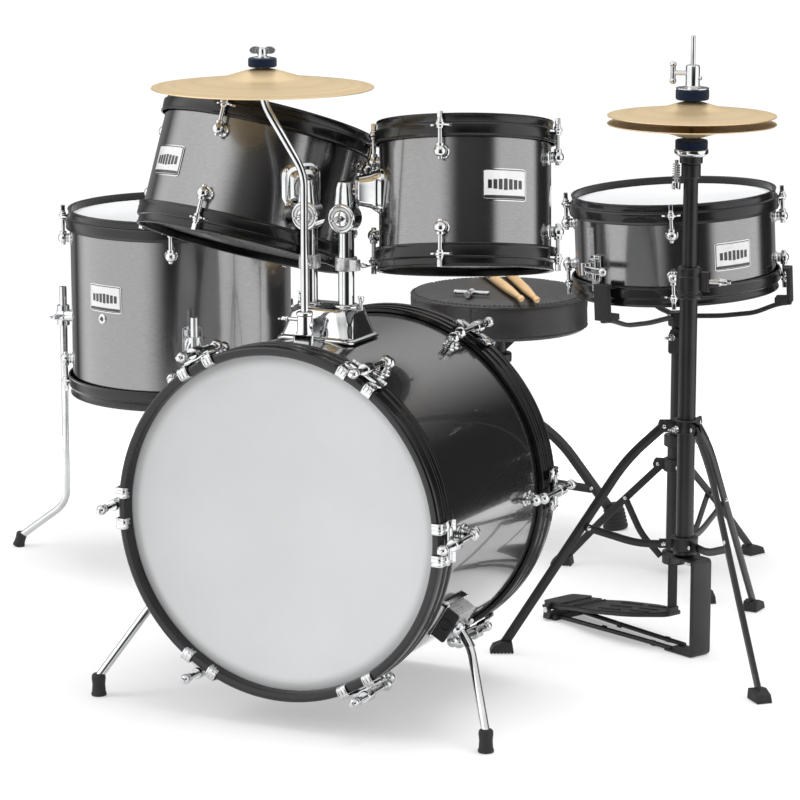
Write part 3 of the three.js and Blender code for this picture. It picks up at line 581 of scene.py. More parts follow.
def drum(name, body, wall_layers=()):
    place, radius, rim = drum_frame(name)
    level = rim - RIM_ABOVE_HEAD
    spec = DRUMS[name]
    lug_z = rim - spec["lug_from_rim"]
    rounds = every(4, spec["lug_at"])
    lugs = both_ends(ball_lug(radius, radius + ROD_OUT, lug_z), rounds)
    seam = [curved_plate(radius, spec["badge_at"] + 150, 0, 14, 2 * level - 16, 0.5, 0.2)]
    layers = {"wrap": [ring(radius - WALL, radius, -level, level, 160), *seam], "chrome": lugs}
    for look, shapes in dict(wall_layers).items():
        layers.setdefault(look, []).extend(shapes)
    build(f"{name}_shell", body, place, layers)
    build(f"{name}_batter_head", body, place, {"head": [drum_head(radius, level)]}, 0)
    rods, low_rods = both_ends(tension_rod(radius, rim, lug_z), rounds)
    hoop = lathe(hoop_profile(radius, rim), 128, True)
    build(f"{name}_batter_hoop", body, place, {"gloss": [hoop], "chrome": [rods]}, 0.25)
    # On the toms and floor tom the bottom head is black ink, painted shade for their dark undersides; the
    # snare keeps a clear bottom head.
    snare_head_else_painted_shade = "head" if name == "snare" else "ink"
    layers = {"gloss": [flipped(hoop)], "chrome": [low_rods], snare_head_else_painted_shade: [flipped(drum_head(radius, level))]}
    build(f"{name}_bottom_hoop", body, place, layers, 0.25)
    badge(name, body, place, radius, spec["badge_at"], spec["badge_z"])
    return place, radius, rim


# ---- bass drum
def bass_hoop_profile():
    """A channel with three raised ribs round its outside and a rolled front edge."""
    half, out = BASS.half, BASS.hoop
    steps = [(204, -39.6), (out - 1.4, -39.6), (out + 0.2, -38.4), (out + 0.2, -35), (out - 1.6, -33.6),
             (out - 1.6, -27), (out + 0.2, -25.6), (out + 0.2, -21.6), (out - 1.6, -20.2), (out - 1.6, -12.8),
             (out + 0.2, -11.4), (out + 0.4, -4), (out - 0.4, -1.4), (out - 2.4, 0), (201.4, 0),
             (199.6, -0.8), (198.6, -2.6), (198, -5), (197.6, -12.8), (203.6, -13)]
    return [(r, half + z) for r, z in steps]


def claw():
    """Two ribbed hooks over the hoop, a bridge between them and the key rod with its ball end."""
    half, out, rod = BASS.half, BASS.hoop, BASS.claw_radius
    path = rounded([(198.4, 0, half - 7), (198.4, 0, half + 2), (out + 2.4, 0, half + 2),
                    (out + 2.4, 0, half - 26), (out + 5.5, 0, half - 30)], 4.5, 5)
    band = sweep(path, rect(13, 2, 0.6, 2))
    ribs = [moved(tube(path, 1.5, 8), at(0, y)) for y in (-4.6, 0, 4.6)]
    disc = lathe([(0, -1.4), (7.6, -1.4), (8, 0), (7.2, 1.2), (4.4, 2.4), (0, 2.8)], 24)
    hook = merge(band, *ribs, outward(disc, out + 3.6, 0, half - 15))
    bridge = sweep([(rod - 7, y, half - 15) for y in (-HOOK_SPREAD, -9, 9, HOOK_SPREAD)],
                   rect(9, 5, 1.4, 3), side=UP)
    boss = moved(lathe([(0, -9), (6.4, -9), (7, -7.6), (7, 7.6), (6.4, 9), (0, 9)], 24),
                 at(rod, 0, half - 15))
    shaft = bar((rod, 0, half - BASS.lug_from_face + 5), (rod, 0, half + 17), 3.1, 16)
    collar = moved(lathe([(0, 0), (4.6, 0), (5, 1), (5, 5), (4.2, 6), (0, 6)], 20), at(rod, 0, half + 8))
    tip = [ball((rod, 0, half + 18), 6.2), moved(block(5, 5, 7, corner=0.8), at(rod, 0, half + 23.5))]
    return merge(*pair(hook, HOOK_SPREAD), bridge, boss, shaft, collar, *tip)


def spur_box():
    """The spur's ribbed box on the shell, with X outward and Z along the drum towards its front."""
    radius = BASS.radius
    body = block(22, 38, 46, radius + 8, 0, 0, 2)
    fins = [block(1.4, 2.2, 46, radius + 19.2, y, 0) for y in range(-16, 17, 4)]
    fins += [block(2, 39.4, 46, radius + 3 + 4 * i, 0, 0, 0.6) for i in range(4)]
    foot = outward(prism(rect(58, 50, 6), -3, 3), radius + 0.5, 0)
    screws = [outward(rivet(3), radius + 3, y, z) for y in (-22, 22) for z in (-25, 25)]
    handle = tube(rounded([(radius + 19, 4, -8), (radius + 27, 4, -8), (radius + 30, 15, 2)], 4), 2.2, 12)
    face = moved(prism(rect(25, 40, 3), 0, 3.4), at(radius + 8.5, 0, 22.4))
    socket = moved(ring(5, 8, 2.6, 5, 24), at(radius + 12, 0, 22))
    return [body, *fins], [foot, *screws, handle], [face, socket]


def bass_drum():
    centre = box_middle("bass_front_head", "bass_rear_head")
    place = at(*centre) @ spin(90, "X")
    radius, half, rod = BASS.radius, BASS.half, BASS.claw_radius
    turns = every(BASS.claws)
    lug_z = half - BASS.lug_from_face
    lug = merge(ball_lug(radius, rod, lug_z), ball((rod - 9, 0, lug_z - 9), 5.2),
                moved(ball_lug(radius, rod - 5, 0), at(0, 0, lug_z - 13)))
    layers = {"wrap": [ring(radius - WALL, radius, 20 - half, half - 20, 192)],
              "chrome": both_ends(lug, turns)}
    hinge = place.inverted() @ spur_pin("spur_right", centre)
    turn = math.degrees(math.atan2(hinge.y, hinge.x))
    for look, shapes in zip(("satin", "chrome", "rubber"), spur_box()):
        box = moved(merge(*shapes), at(0, 0, half - BASS.spur_box))
        layers.setdefault(look, []).extend([moved(box, spin(turn)),
                                            moved(box, spin(180 - turn) @ Matrix.Scale(-1, 4, SIDE))])
    build("bass_shell", "kit_base", place, layers)
    head = lathe([(0, -14.6), (180, -14.6), (182, -13.4), (190, -13.2), (193, -14.4), (202.4, -15),
                  (202.4, -17), (0, -17)], 160, z=half)
    hoop = lathe(bass_hoop_profile(), 192, True)
    for side, sign, claws in zip(("front", "rear"), (1, -1), both_ends(claw(), turns)):
        build(f"bass_{side}_head", "kit_base", place, {"head": [flipped(head, sign)]}, 0)
        layers = {"gloss": [flipped(hoop, sign)], "chrome": [claws]}
        build(f"bass_{side}_hoop", "kit_base", place, layers, 0.25)
    return centre


def spur_pin(name, centre):
    """The middle of the spur's hinge face, the ring of corners that lies nearest the drum's axis."""
    return middle(sorted(points_of(name),
                         key=lambda p: Vector((p.x - centre.x, 0, p.z - centre.z)).length)[:10])


def spur(name, side, centre):
    """A bent chrome tube from its hinge to a flared rubber boot."""
    foot, pin = foot_of(name), spur_pin(name, centre)
    away = Vector((pin.x - centre.x, 0, pin.z - centre.z)).normalized()
    head = pin + away * 12
    elbow = head + Vector((side * 12, -6, -14))
    ankle = foot + UP * 24
    down = (foot - elbow).normalized()
    path = rounded([head - away * 5, elbow, ankle + down * 8], 12, 8)
    boot_shape = lathe([(0, 0), (9, 0), (9.4, 2), (8.4, 5), (7.8, 13), (8.2, 18), (8.6, 21), (8.2, 25),
                        (6.2, 27), (0, 27)], 28)
    collar_shape = lathe([(0, -2), (8.6, -2), (9, -0.8), (9, 6), (8, 7.6), (6.6, 8.6), (0, 9.4)], 28)
    blade = sweep([head - away * 2, head.lerp(elbow, 0.55), elbow], rect(11, 8, 1.6, 3), side=SIDE)
    layers = {"chrome": [tube(path, 5, 20), on_axis(collar_shape, pin, away), blade],
              "rubber": [on_axis(boot_shape, foot, (ankle - foot).normalized())]}
    build(name, name, HOME, layers)


# ---- tom mount, posts and cups
def mount_base(posts, crash_foot, centre):
    """A flared casting that sits on the bass shell, with two sockets and the crash clamp."""
    middle_post = (posts[0] + posts[1]) / 2
    origin = Vector((middle_post.x, middle_post.y, 0))
    place = at(*origin)
    radius = BASS.radius + 1.3

    def on_shell(x, lift):
        reach = radius + lift
        return centre.z + math.sqrt(max(0.0, reach ** 2 - (x + origin.x - centre.x) ** 2))

    def level_ring(width, length, corner, height):
        return [Vector((x, y, height(x))) for x, y in rect(width, length, corner, 6)]

    skirt = [(98, 84, 12, 0), (100, 86, 13, 1.2), (99, 85, 13, 3), (93, 78, 14, 4.4)]
    crown = [(88, 72, 16, 455), (85, 68, 18, 462), (82, 64, 19, 470), (79, 60, 20, 475), (75, 56, 20, 477.6),
             (68, 49, 18, 479)]
    body = skin([level_ring(*outline, lambda x, lift=lift: on_shell(x, lift)) for *outline, lift in skirt] +
                [level_ring(*outline, lambda x, z=z: z) for *outline, z in crown])
    cast, bright = [body], []
    for post in posts:
        x, y = post.x - origin.x, post.y - origin.y
        cup = lathe([(9.9, 470), (14.4, 478), (14.4, 480.4), (13, 481.6), (9.9, 481.6)], 48, True)
        cast.append(moved(cup, at(x, y)))
        bright.append(moved(wing_screw(11, 0.62), at(x + (17 if x > 0 else -15), y + 4, 474)))
    crash_x, crash_y = crash_foot.x - origin.x, crash_foot.y - origin.y
    tower = lathe([(5, 452), (10, 452), (10, 455), (9, 457), (9, 474), (10, 475.4), (10, 478), (9, 479.4),
                   (5, 479.4)], 32, True)
    cast += [moved(tower, at(crash_x, crash_y)),
             moved(prism(rect(14, 26, 3), 446, 470), at(crash_x, crash_y + 18)),
             moved(prism(rect(26, 24, 5), 441, 453), at(crash_x, crash_y + 4))]
    bright += [on_axis(wing_screw(17, 0.9), (crash_x - 6, crash_y, 469), (-1, 0, 0)),
               on_axis(merge(hex_bolt(4.4), rivet(2.2)), (crash_x + 8.6, crash_y, 463), (1, 0, 0))]
    bright += [moved(rivet(3.4), at(x, y, on_shell(x, 4.6))) for x in (-43, 43) for y in (-30, 30)]
    layers = {"cast": cast, "chrome": bright}
    build("mount_base", "kit_base", place, layers, 0.6)


def tom_post(name, side, tom):
    """A post with a lock collar, a toothed tilter with its wing nut and a stub arm towards its tom."""
    foot = foot_of(name)
    centre = drum_frame(tom)[0].translation
    place = at(foot.x, foot.y)
    collar_z, tilter_z, arm_z = TOM_POST.collar, TOM_POST.tilter, TOM_POST.arm
    toward = Vector((centre.x - foot.x, centre.y - foot.y, 0)).normalized()
    reach = 24 if side > 0 else 21
    face_to = Vector((0, -1, 0))
    tube_shape = lathe([(0, foot.z), (9.5, foot.z), (9.5, 590), (8.4, 592), (0, 592)], 36)
    collar = lathe([(9.6, -8), (12.4, -8), (13, -7), (13, 7), (12.4, 8), (9.6, 8)], 36, True, collar_z)
    bolt_at = -12 if side > 0 else -62
    lug_block = moved(block(12, 9, 13, 15, -3, collar_z, 2), spin(bolt_at))
    teeth = around(block(2.2, 1.7, 3, 16, 0, 0), every(36))
    disc = lathe([(0, -12), (15.6, -12), (17.2, -10.6), (17.4, 0), (17.4, 9), (16, 10.6), (14.2, 10.6),
                  (13.4, 9.4), (9.6, 9.4), (9, 11), (7.2, 11.8), (0, 12)], 48)
    tilter = on_axis(merge(disc, moved(teeth, at(0, 0, -1))), (0, -3.5, tilter_z), face_to)
    ring_face = on_axis(ring(10, 13, 8, 10.4, 40), (0, -3.5, tilter_z), face_to)
    wing = on_axis(wing_screw(8, 0.95, 3), (0, -14, tilter_z), face_to)
    neck_ring = [[Vector((x * s, y * s2 - 2, z)) for x, y in rect(25, 20, 6, 5)] for z, s, s2 in
                 ((tilter_z + 5, 1, 1), (tilter_z + 18, 0.92, 0.98), (arm_z - 6, 0.84, 0.95),
                  (arm_z + 4, 0.78, 0.9), (arm_z + 11, 0.6, 0.72))]
    arm = bar(Vector((0, 0, arm_z)), toward * reach + UP * arm_z, 7.5, 28)
    bolt = on_axis(wing_screw(7, 0.7), polar(19, bolt_at, collar_z), polar(1, bolt_at))
    layers = {"chrome": [tube_shape, tilter, wing, skin(neck_ring), arm, bolt],
              "satin": [collar, lug_block, ring_face]}
    build(name, name, place, layers)


def tom_cup(post_name, drum_place, radius):
    """The polished hood on a tom's shell that takes the post's stub arm, in the drum's own frame."""
    post = foot_of(post_name)
    centre = drum_place.translation
    level = Vector((post.x, post.y, TOM_POST.arm))
    toward = Vector((centre.x - post.x, centre.y - post.y, 0))
    reach = toward.length
    toward.normalize()
    start, wall = 13.0, reach - radius
    outlines = []
    for along, width, height in ((start, 27, 30), (start + 1.5, 30, 33), (wall * 0.6 + start * 0.4, 35, 39),
                                 (wall - 3, 44, 48), (wall + 0.5, 50, 54), (wall + 9, 50, 54)):
        outlines.append([Vector((along, x, y)) for x, y in rect(width, height, width * 0.3, 6)])
    hood = skin(outlines)
    mouth = outward(ring(8, 12.4, -3, 3, 36), start, 0)
    ridge = [sweep([Vector((wall - 5, y, z)) for z in (-16.56, 0, 16.56)], rect(1.8, 1.8, 0.5, 2), side=AHEAD)
             for y in (-21.5, 21.5)]
    screws = [moved(rivet(3), at(wall - 1, y, z) @ spin(-90, "Y")) for y in (-19, 19) for z in (-20, 20)]
    turn = at(*level) @ spin(math.degrees(math.atan2(toward.y, toward.x)))
    inward = drum_place.inverted() @ turn
    return {"chrome": [moved(shape, inward) for shape in (hood, *ridge, *screws)],
            "satin": [moved(mouth, inward)]}


def cymbal(radius, edge, bell, hole):
    """A bowed plate with a raised bell, thin at its edge."""
    rise = bell - edge
    bell_radius = radius * 0.44

    def height(r):
        bump = max(0.0, 1 - (r / bell_radius) ** 2) ** 2
        return edge + rise * (0.66 * (1 - (r / radius) ** 1.15) + 0.34 * bump)

    steps = [hole + (radius - hole) * (i / 40) for i in range(41)]
    top = [(r, height(r)) for r in steps]
    under = [(r, height(r) - 1.2) for r in reversed(steps)]
    return lathe(top + [(radius + 0.4, height(radius) - 0.6)] + under, 144, True)


def crash():
    foot, top = foot_of("crash_arm"), top_of("crash_arm")
    edge, bell, rod = CRASH.edge, CRASH.bell, CRASH.rod
    path = rounded([foot, (foot.x, foot.y, CRASH.bend), (top.x, top.y, CRASH.high_bend), top], 16, 8)
    cup = lathe([(rod, -18), (10.6, -18), (11, -16.6), (11, -13), (8, -7), (7, -4), (rod, -4)], 32, True,
                bell)
    here = at(top.x, top.y)
    layers = {"chrome": [tube(path, rod, 20)], "rubber": [moved(cup, here)]}
    build("crash_arm", "crash_arm", HOME, layers)
    place = at(top.x, top.y, bell - 10)
    plate = moved(cymbal(CRASH.radius, edge, bell, 6.2), at(0, 0, 10 - bell))
    build("crash_cymbal", "crash_cymbal", place, {"brass": [plate]}, 0)
    felt = lathe([(rod + 0.5, 1), (15, 0.7), (16.4, 2), (16.4, 9.8), (15.2, 11), (rod + 0.5, 11)], 44, True,
                 bell)
    washer = ring(rod + 0.5, 11, bell + 11, bell + 12, 36)
    nut = moved(wing_nut(1.25, 4), at(0, 0, bell + 11) @ spin(20))
    thread = [ring(rod - 0.6, rod + 0.25, z, z + 0.7, 20) for z in (bell + 10.4, bell + 11.4)]
    layers = {"felt": [felt], "chrome": [washer, nut, *thread]}
    build("crash_nut", "crash_arm", here, layers, 0.2, nodes=("crash_wing_nut",))


# ---- floor tom
def floor_tom_brackets(radius, centre_z):
    """A barrel on a shell plate for each leg, in the drum's own frame, along +X."""
    out, z = FLOOR_LEG.radius, FLOOR_LEG.bracket_z - centre_z
    base = outward(prism(rect(46, 26, 6), -2, 2.6), radius, 0, z)
    barrel = outward(lathe([(0, 0), (10.4, 0), (10.4, 5), (8.6, 6), (8.6, 26), (10.4, 27), (10.4, 36),
                            (9, 38), (0, 38)], 32), radius, 0, z)
    sleeve = moved(ring(5.6, 8.6, z - 14, z + 14, 32), at(out, 0))
    screws = [outward(rivet(3.2), radius + 2.4, 0, z + dz) for dz in (-18, 18)]
    wing = on_axis(wing_screw(13, 0.95), (out, 5, z), (0.15, 1, 0))
    return merge(base, barrel, sleeve, *screws, wing)


def floor_tom():
    place, radius, _ = drum_frame("floor_tom")
    bracket = floor_tom_brackets(radius, place.translation.z)
    rim = lathe([(3, -0.5), (6.8, -0.5), (6.8, 1), (5.6, 1.8), (3.6, 1.8), (3, 1)], 28, True)
    # A black disc inside the vent ring is painted shade for the dark hole.
    vent_shade_disc = lathe([(0, 0), (3.2, 0), (3.2, 0.7), (0, 0.7)], 20)
    vent, hole = turned([outward(shape, radius, 0, -8) for shape in (rim, vent_shade_disc)], VENT_AT)
    drum("floor_tom", "kit_base", {"chrome": [around(bracket, LEG_AT), vent], "ink": [hole]})
    base = at(*place.translation.xy)
    out, reach = FLOOR_LEG.radius, FLOOR_LEG.radius + FLOOR_LEG.reach
    path = rounded([(out, 0, FLOOR_LEG.top), (out, 0, FLOOR_LEG.bend), (reach - 1, 0, 15)], 22, 8)
    knurl = [moved(ring(4.4, 5.25, z, z + 1.2, 18), at(out, 0)) for z in range(298, 374, 3)]
    boot = lathe([(0, 0), (8.4, 0), (8.6, 1.6), (7.6, 5), (7.2, 12), (7.8, 16), (7.6, 19), (5.6, 20.4),
                  (0, 20.4)], 26)
    layers = {"chrome": [tube(path, FLOOR_LEG.tube, 20), *knurl],
              "rubber": [on_axis(boot, (reach + 3.6, 0, 0.6), Vector((-0.32, 0, 1)).normalized())]}
    for letter, turn in zip("abc", LEG_AT):
        build(f"floor_tom_leg_{letter}", f"floor_tom_leg_{letter}", base @ spin(turn), layers, 0)


# ---- stands
def boot(reach):
    """A wedge boot with a ribbed sole, along +X."""
    side = [(reach - 17, 1), (reach - 15, 13), (reach - 4, 14.4), (reach + 9, 9.4), (reach + 12.4, 3),
            (reach + 12, 0.8)]
    body = standing(side, 9.6)
    sole = [block(2.6, 19.6, 2, reach - 15 + 4.4 * i, 0, 1) for i in range(7)]
    return merge(body, *sole)


def leg_cheeks(turns, z, reach=24, spread=4.5):
    cheek = [(-9, -7), (9, -7), (11.4, 0), (9, 7), (-9, 7)]
    return around(moved(merge(*pair(standing(cheek, 1.3), spread)), at(reach, 0, z)), turns)


def collar(inner, outer, z, half):
    edge = 1.4
    return lathe([(inner, -half), (outer - edge, -half), (outer, edge - half), (outer, half - edge),
                  (outer - edge, half), (inner, half)], 40, True, z)


def pin(x, z, width):
    """A cross pin with a domed head at both ends."""
    return merge(*[on_axis(rivet(2.9), (x, side * width, z), (0, side, 0)) for side in (-1, 1)])


def hi_hat():
    middle_rod = box_middle("hihat_pull_rod")
    place = at(middle_rod.x, middle_rod.y)
    low, high = HAT.low_tube, HAT.high_tube
    clamp_low, clamp_high = HAT.adjust
    ribs = [(16, clamp_low + 5), (14.8, clamp_low + 6), (14.8, clamp_low + 9), (16, clamp_low + 10)]
    clamp = lathe([(high + 0.4, clamp_low), (14.6, clamp_low), (16, clamp_low + 1.4), *ribs,
                   (16, clamp_high - 12), (15, clamp_high - 10.6), (15, clamp_high - 3), (13.6, clamp_high),
                   (high + 0.4, clamp_high)], 44, True)
    clamp_mid = (clamp_low + clamp_high) / 2 + 1.5
    ear = block(14, 11, 24, 18, 4, clamp_mid, 2.4)
    steel = [lathe([(high + 0.4, HAT.frame_top + 0.4), (low, HAT.frame_top + 0.4), (low, clamp_low + 1),
                    (high + 0.4, clamp_low + 1)], 40, True),
             clamp, ear, collar(low - 0.4, 17, HAT.collar_low, 9), collar(low - 0.4, 13.4, 129, 4)]
    brace_ears = around(block(18, 2.6, 12, 23, 1.2, HAT.collar_low, 0), HAT.legs)
    chrome = [on_axis(wing_screw(15, 1.15, 3), (23, 6, clamp_mid), (1, 0.3, 0)),
              on_axis(hex_bolt(3.6), (-15.6, 0, clamp_mid), (-1, 0, 0)),
              around(pin(26, HAT.collar_low, 5.6), HAT.legs)]
    build("hihat_lower_tube", "kit_base", place, {"steel": [*steel, brace_ears], "chrome": chrome})
    layers = {"steel": [collar(low + 0.4, 17, HAT.collar_high, 9), leg_cheeks(HAT.legs, HAT.collar_high)],
              "chrome": [around(pin(28, HAT.collar_high, 6), HAT.legs),
                         on_axis(wing_screw(11, 0.9), polar(15, 260, HAT.collar_high), polar(1, 260))]}
    build("hihat_leg_collar", "hihat_leg_collar", place, layers)
    leg = strap([(28, HAT.collar_high), (74, 248), (HAT.reach - 4, 9)], 12, 4.6, 30)
    flute = strap([(40, 279), (74, 248), (214, 29)], 7, 5.4, 30)
    brace = strap([(26, HAT.collar_low), (60, 141), (124, 162)], 9.6, 2.8, 18, 4.6)
    for letter, turn in zip("abc", HAT.legs):
        base = place @ spin(turn)
        layers = {"steel": [leg, flute], "rubber": [boot(HAT.reach)],
                  "chrome": [on_axis(rivet(3), (124, -2.4, 170), (0, -1, 0))]}
        build(f"hihat_leg_{letter}", f"hihat_leg_{letter}", base, layers)
        layers = {"steel": [brace], "chrome": [on_axis(rivet(3), (120, 6, 160.6), (0, 1, 0)),
                                              on_axis(rivet(2.6), (28, 6, 140), (0, 1, 0))]}
        build(f"hihat_brace_{letter}", f"hihat_brace_{letter}", base, layers)
    hat_pedal(place @ spin(HAT.pedal_at))
    hat_top(place)


def hat_pedal(place):
    """The strap frame under the tube, the heel plate with its rods and the footboard with its raised grips;
    +X goes to the heel."""
    heel, toe, top = HAT.heel, HAT.toe, HAT.frame_top
    frame_strap = ribbon([(17, top - 1.5), (-31.5, top - 1.5), (-31.5, 1.5), (17, 1.5)], 32, 3, 5)
    lips = pair(ribbon([(-29.5, top - 6), (-29.5, 8)], 3, 5, 0), 14.6)
    nut = moved(hex_bolt(9.5, 6), at(-14, 0, top - 9))
    runners = [tube(rounded([(8, side * 12, 4), (70, side * 13, 4), (heel, side * 20, 4)], 30), 3, 14)
               for side in (-1, 1)]
    plate = block(24, 60, 7.2, heel, 0, 3.8, 3)
    ear = standing([(heel - 6, 2), (heel + 6, 2), (heel + 6, 15), (heel + 3, 20), (heel - 3, 20),
                    (heel - 6, 15)], 1.5)
    ties = pair(block(12, 10, 5, heel, 0, 4), 30)
    pins = [on_axis(hex_bolt(4.2, 3), (heel, side * 34.4, 14), (0, side, 0)) for side in (-1, 1)]
    clips = [block(8, 3, 7, x, side * 13, 4, 1) for x in (40, 130) for side in (-1, 1)]
    layers = {"steel": [frame_strap, *lips, *runners, plate, *pair(ear, 33), *ties, *clips],
              "chrome": [nut, *pins], "rubber": [block(44, 30, 1.2, -8, 0, 0.6, 2)]}
    build("hihat_base_frame", "kit_base", place, layers)
    slope = math.degrees(math.atan2(28, heel - toe))
    board = place @ at(heel, 0, 15) @ spin(slope, "Y") @ at(-heel, 0, 0)
    half = rounded([(heel + 14, 29, 0), (heel - 52, 30, 0), (heel - 78, 36, 0), (toe + 50, 33, 0),
                    (toe + 4, 16, 0), (toe, 10, 0)], 16, 5)
    outline = [(p.x, p.y) for p in half]
    outline += [(x, -y) for x, y in reversed(outline)]
    plate = prism(outline, 0, 4)
    raised = prism([(heel - 88 + (x - heel + 88) * 0.93, y * 0.9) for x, y in outline], 3, 5.2)
    grips = [block(34, 4, 1.8, toe + 46, y, 5.6, 1.8) for y in (-16, 0, 16)]
    grips += [block(40, 4, 1.8, toe + 98, y, 5.6, 1.8) for y in (-20, 0, 20)]
    rails = [block(2.4, 50, 2, heel - 50, 0, 5.6, 1), block(58, 52, 3, heel - 16, 0, 5.4, 5)]
    hinge = bar((heel, -30.6, 3), (heel, 30.6, 3), 4, 20)
    heel_box = block(42, 54, 11, heel - 5, 0, 3.5, 7)
    layers = {"steel": [plate, raised, *grips, *rails, hinge, heel_box]}
    build("hihat_footboard", "hihat_footboard", board, layers)
    links = [block(2.2, 15, top - 53.6, toe + 6, 0, (top + 46.4) / 2, 0)]
    ends = [block(6, 18, 9, toe + 6, 0, z, 1.5) for z in (49, 114)]
    build("hihat_pull_link", "hihat_footboard", place, {"rubber": links, "steel": ends},
          nodes=("hihat_footboard",))


def hat_top(place):
    high, cup = HAT.high_tube, HAT.cup
    bell_low, bell_high = HAT.bottom_edge - HAT.rise, HAT.top_edge + HAT.rise
    inner = ring(high - 2, high, 300, cup - 6, 36)
    sleeve = collar(high - 2, 12, 609, 9)
    socket = lathe([(high - 2, -6), (13.2, -6), (14.2, -5), (14.2, 3), (high - 2, 3)], 44, True, cup)
    seat = lathe([(high - 2, 3), (16, 3), (20.4, 6), (21, 7), (21, 11), (19.6, 12), (high - 2, 12)], 44, True,
                 cup)
    felt = lathe([(4, cup + 11.6), (18.6, cup + 11.6), (20, cup + 13), (20, bell_low - 3.4),
                  (18.8, bell_low - 2), (4, bell_low - 2)], 44, True)
    knob = lathe([(0, -4), (5, -4), (5.6, -3), (5.6, 5), (5, 6), (0, 6)], 12)
    screw = [bar((-16, -8, 622), (-16, -8, 592), 2.4, 14), moved(knob, at(-16, -8, 590))]
    coil = [(-16 + 4.2 * math.cos(t * 0.7), -8 + 4.2 * math.sin(t * 0.7), 598 + t * 0.32) for t in range(62)]
    layers = {"steel": [inner, sleeve, socket], "felt": [felt], "chrome": [seat, *screw, tube(coil, 0.8, 8)]}
    build("hihat_upper_tube", "hihat_upper", place, layers)
    for name, body, edge, bell in (("hihat_bottom_cymbal", "hihat_upper", HAT.bottom_edge, bell_low),
                                   ("hihat_top_cymbal", "hihat_rod", HAT.top_edge, bell_high)):
        plate = cymbal(HAT.radius, edge, bell, 5)
        build(name, body, place, {"brass": [plate]}, 0)
    foot, tip = (corner.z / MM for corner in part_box("hihat_pull_rod"))
    rod = lathe([(0, foot), (2.8, foot), (2.8, tip - 1.4), (1.8, tip), (0, tip)], 20)
    build("hihat_pull_rod", "hihat_rod", place, {"chrome": [rod]}, 0)
    clutch_z = 709
    felt = lathe([(3.2, bell_high + 0.4), (19, bell_high + 0.8), (20.5, bell_high + 2.4),
                  (20.5, clutch_z - 1.6), (19, clutch_z), (3.2, clutch_z)], 44, True)
    clutch = lathe([(3.2, 0), (20.2, 0), (20.2, 1.6), (12, 2.4), (9, 3.6), (8.6, 5), (8.6, 27), (7.6, 29),
                    (3.2, 29)], 36, True, clutch_z)
    t_bar = [bar((-7, -1, 728), (-23, -3.6, 728), 3, 16), bar((-24, -4, 719), (-24, -4, 737), 3.2, 16),
             *[ball((-24, -4, z), 4.2, 14) for z in (718, 738)]]
    wing = on_axis(hex_bolt(2.6, 3), (8.4, 1, 722), (1, 0, 0.1))
    build("hihat_clutch", "hihat_rod", place, {"felt": [felt], "chrome": [clutch, *t_bar, wing]})


def snare_stand():
    foot = foot_of("snare_stand_upper_tube")
    place = at(foot.x, foot.y)
    tube_radius = STAND.tube
    leg = strap([(18, STAND.collar_high), (100, 69), (STAND.reach - 6, 9)], 10, 4.6, 24)
    brace = strap([(18, STAND.collar_low), (46, 52), (70, 103)], 9, 3, 14, 3.9)
    trunk = ring(tube_radius + 0.4, 12, 12, 190, 40)
    heights = ((STAND.collar_high, 9), (STAND.collar_low, 9), (186, 8))
    steel = [trunk, *[collar(tube_radius + 0.4, 17, z, half) for z, half in heights], around(leg, STAND.legs),
             around(brace, STAND.legs), leg_cheeks(STAND.legs, STAND.collar_high, 20, 4.2)]
    chrome = [around(pin(24, STAND.collar_high, 5.6), STAND.legs), around(pin(69, 101, 5.4), STAND.legs),
              on_axis(wing_screw(15, 1.0, 3), (16, 0, 186), (1, 0.3, 0))]
    layers = {"steel": steel, "chrome": chrome, "rubber": [around(boot(STAND.reach), STAND.legs)]}
    build("snare_stand_tripod", "kit_base", place, layers)
    tilt_z = STAND.tilter
    upper = lathe([(0, 90), (tube_radius, 90), (tube_radius, tilt_z - 14), (0, tilt_z - 14)], 36)
    cheek_outline = [(-10, tilt_z - 23), (10, tilt_z - 23), (10, tilt_z), (7, tilt_z + 8), (0, tilt_z + 11),
                     (-7, tilt_z + 8), (-10, tilt_z)]
    cheeks = pair(standing(cheek_outline, 2), 9)
    bridge = block(19, 21, 10, 0, 0, tilt_z - 20, 2)
    layers = {"steel": [upper, *cheeks, bridge],
              "chrome": [on_axis(wing_screw(13, 1.0, 3), (0, -11, tilt_z), (0, -1, 0)),
                         on_axis(hex_bolt(4.4), (0, 11, tilt_z), (0, 1, 0))]}
    build("snare_stand_upper_tube", "snare_stand_upper", place, layers)
    basket(at(foot.x, foot.y, tilt_z))


def basket(base):
    """Three thin bent arms with rubber grips, leaning with the drum."""
    axis = drum_frame("snare")[0].to_3x3() @ UP
    place = leaning(base.translation, axis)
    reach, seat = STAND.arm_reach, STAND.seat
    hub = [block(15, 11, 24, 0, 0, 2, 2), lathe([(0, 13), (12, 13), (13, 14.4), (13, 30), (11, 32), (0, 32)],
                                                36)]
    arm = strap([(6, 26), (60, 26), (105, 30), (reach - 4, seat - 2), (reach + 14, seat)], 6, 8, 10)
    grip = [block(22, 26, 8, reach + 4, 0, seat + 4, 2), block(6, 26, 48, reach + 12.5, 0, seat + 24, 1.6),
            block(5, 24, 5, reach + 8, 0, seat + 46, 1.4)]
    layers = {"steel": [*hub, around(arm, STAND.arms)], "rubber": [around(merge(*grip), STAND.arms)],
              "chrome": [around(on_axis(rivet(2.6), (18, 0, 29.4), UP), STAND.arms)]}
    build("snare_basket", "snare_drum", place, layers, 0.6)


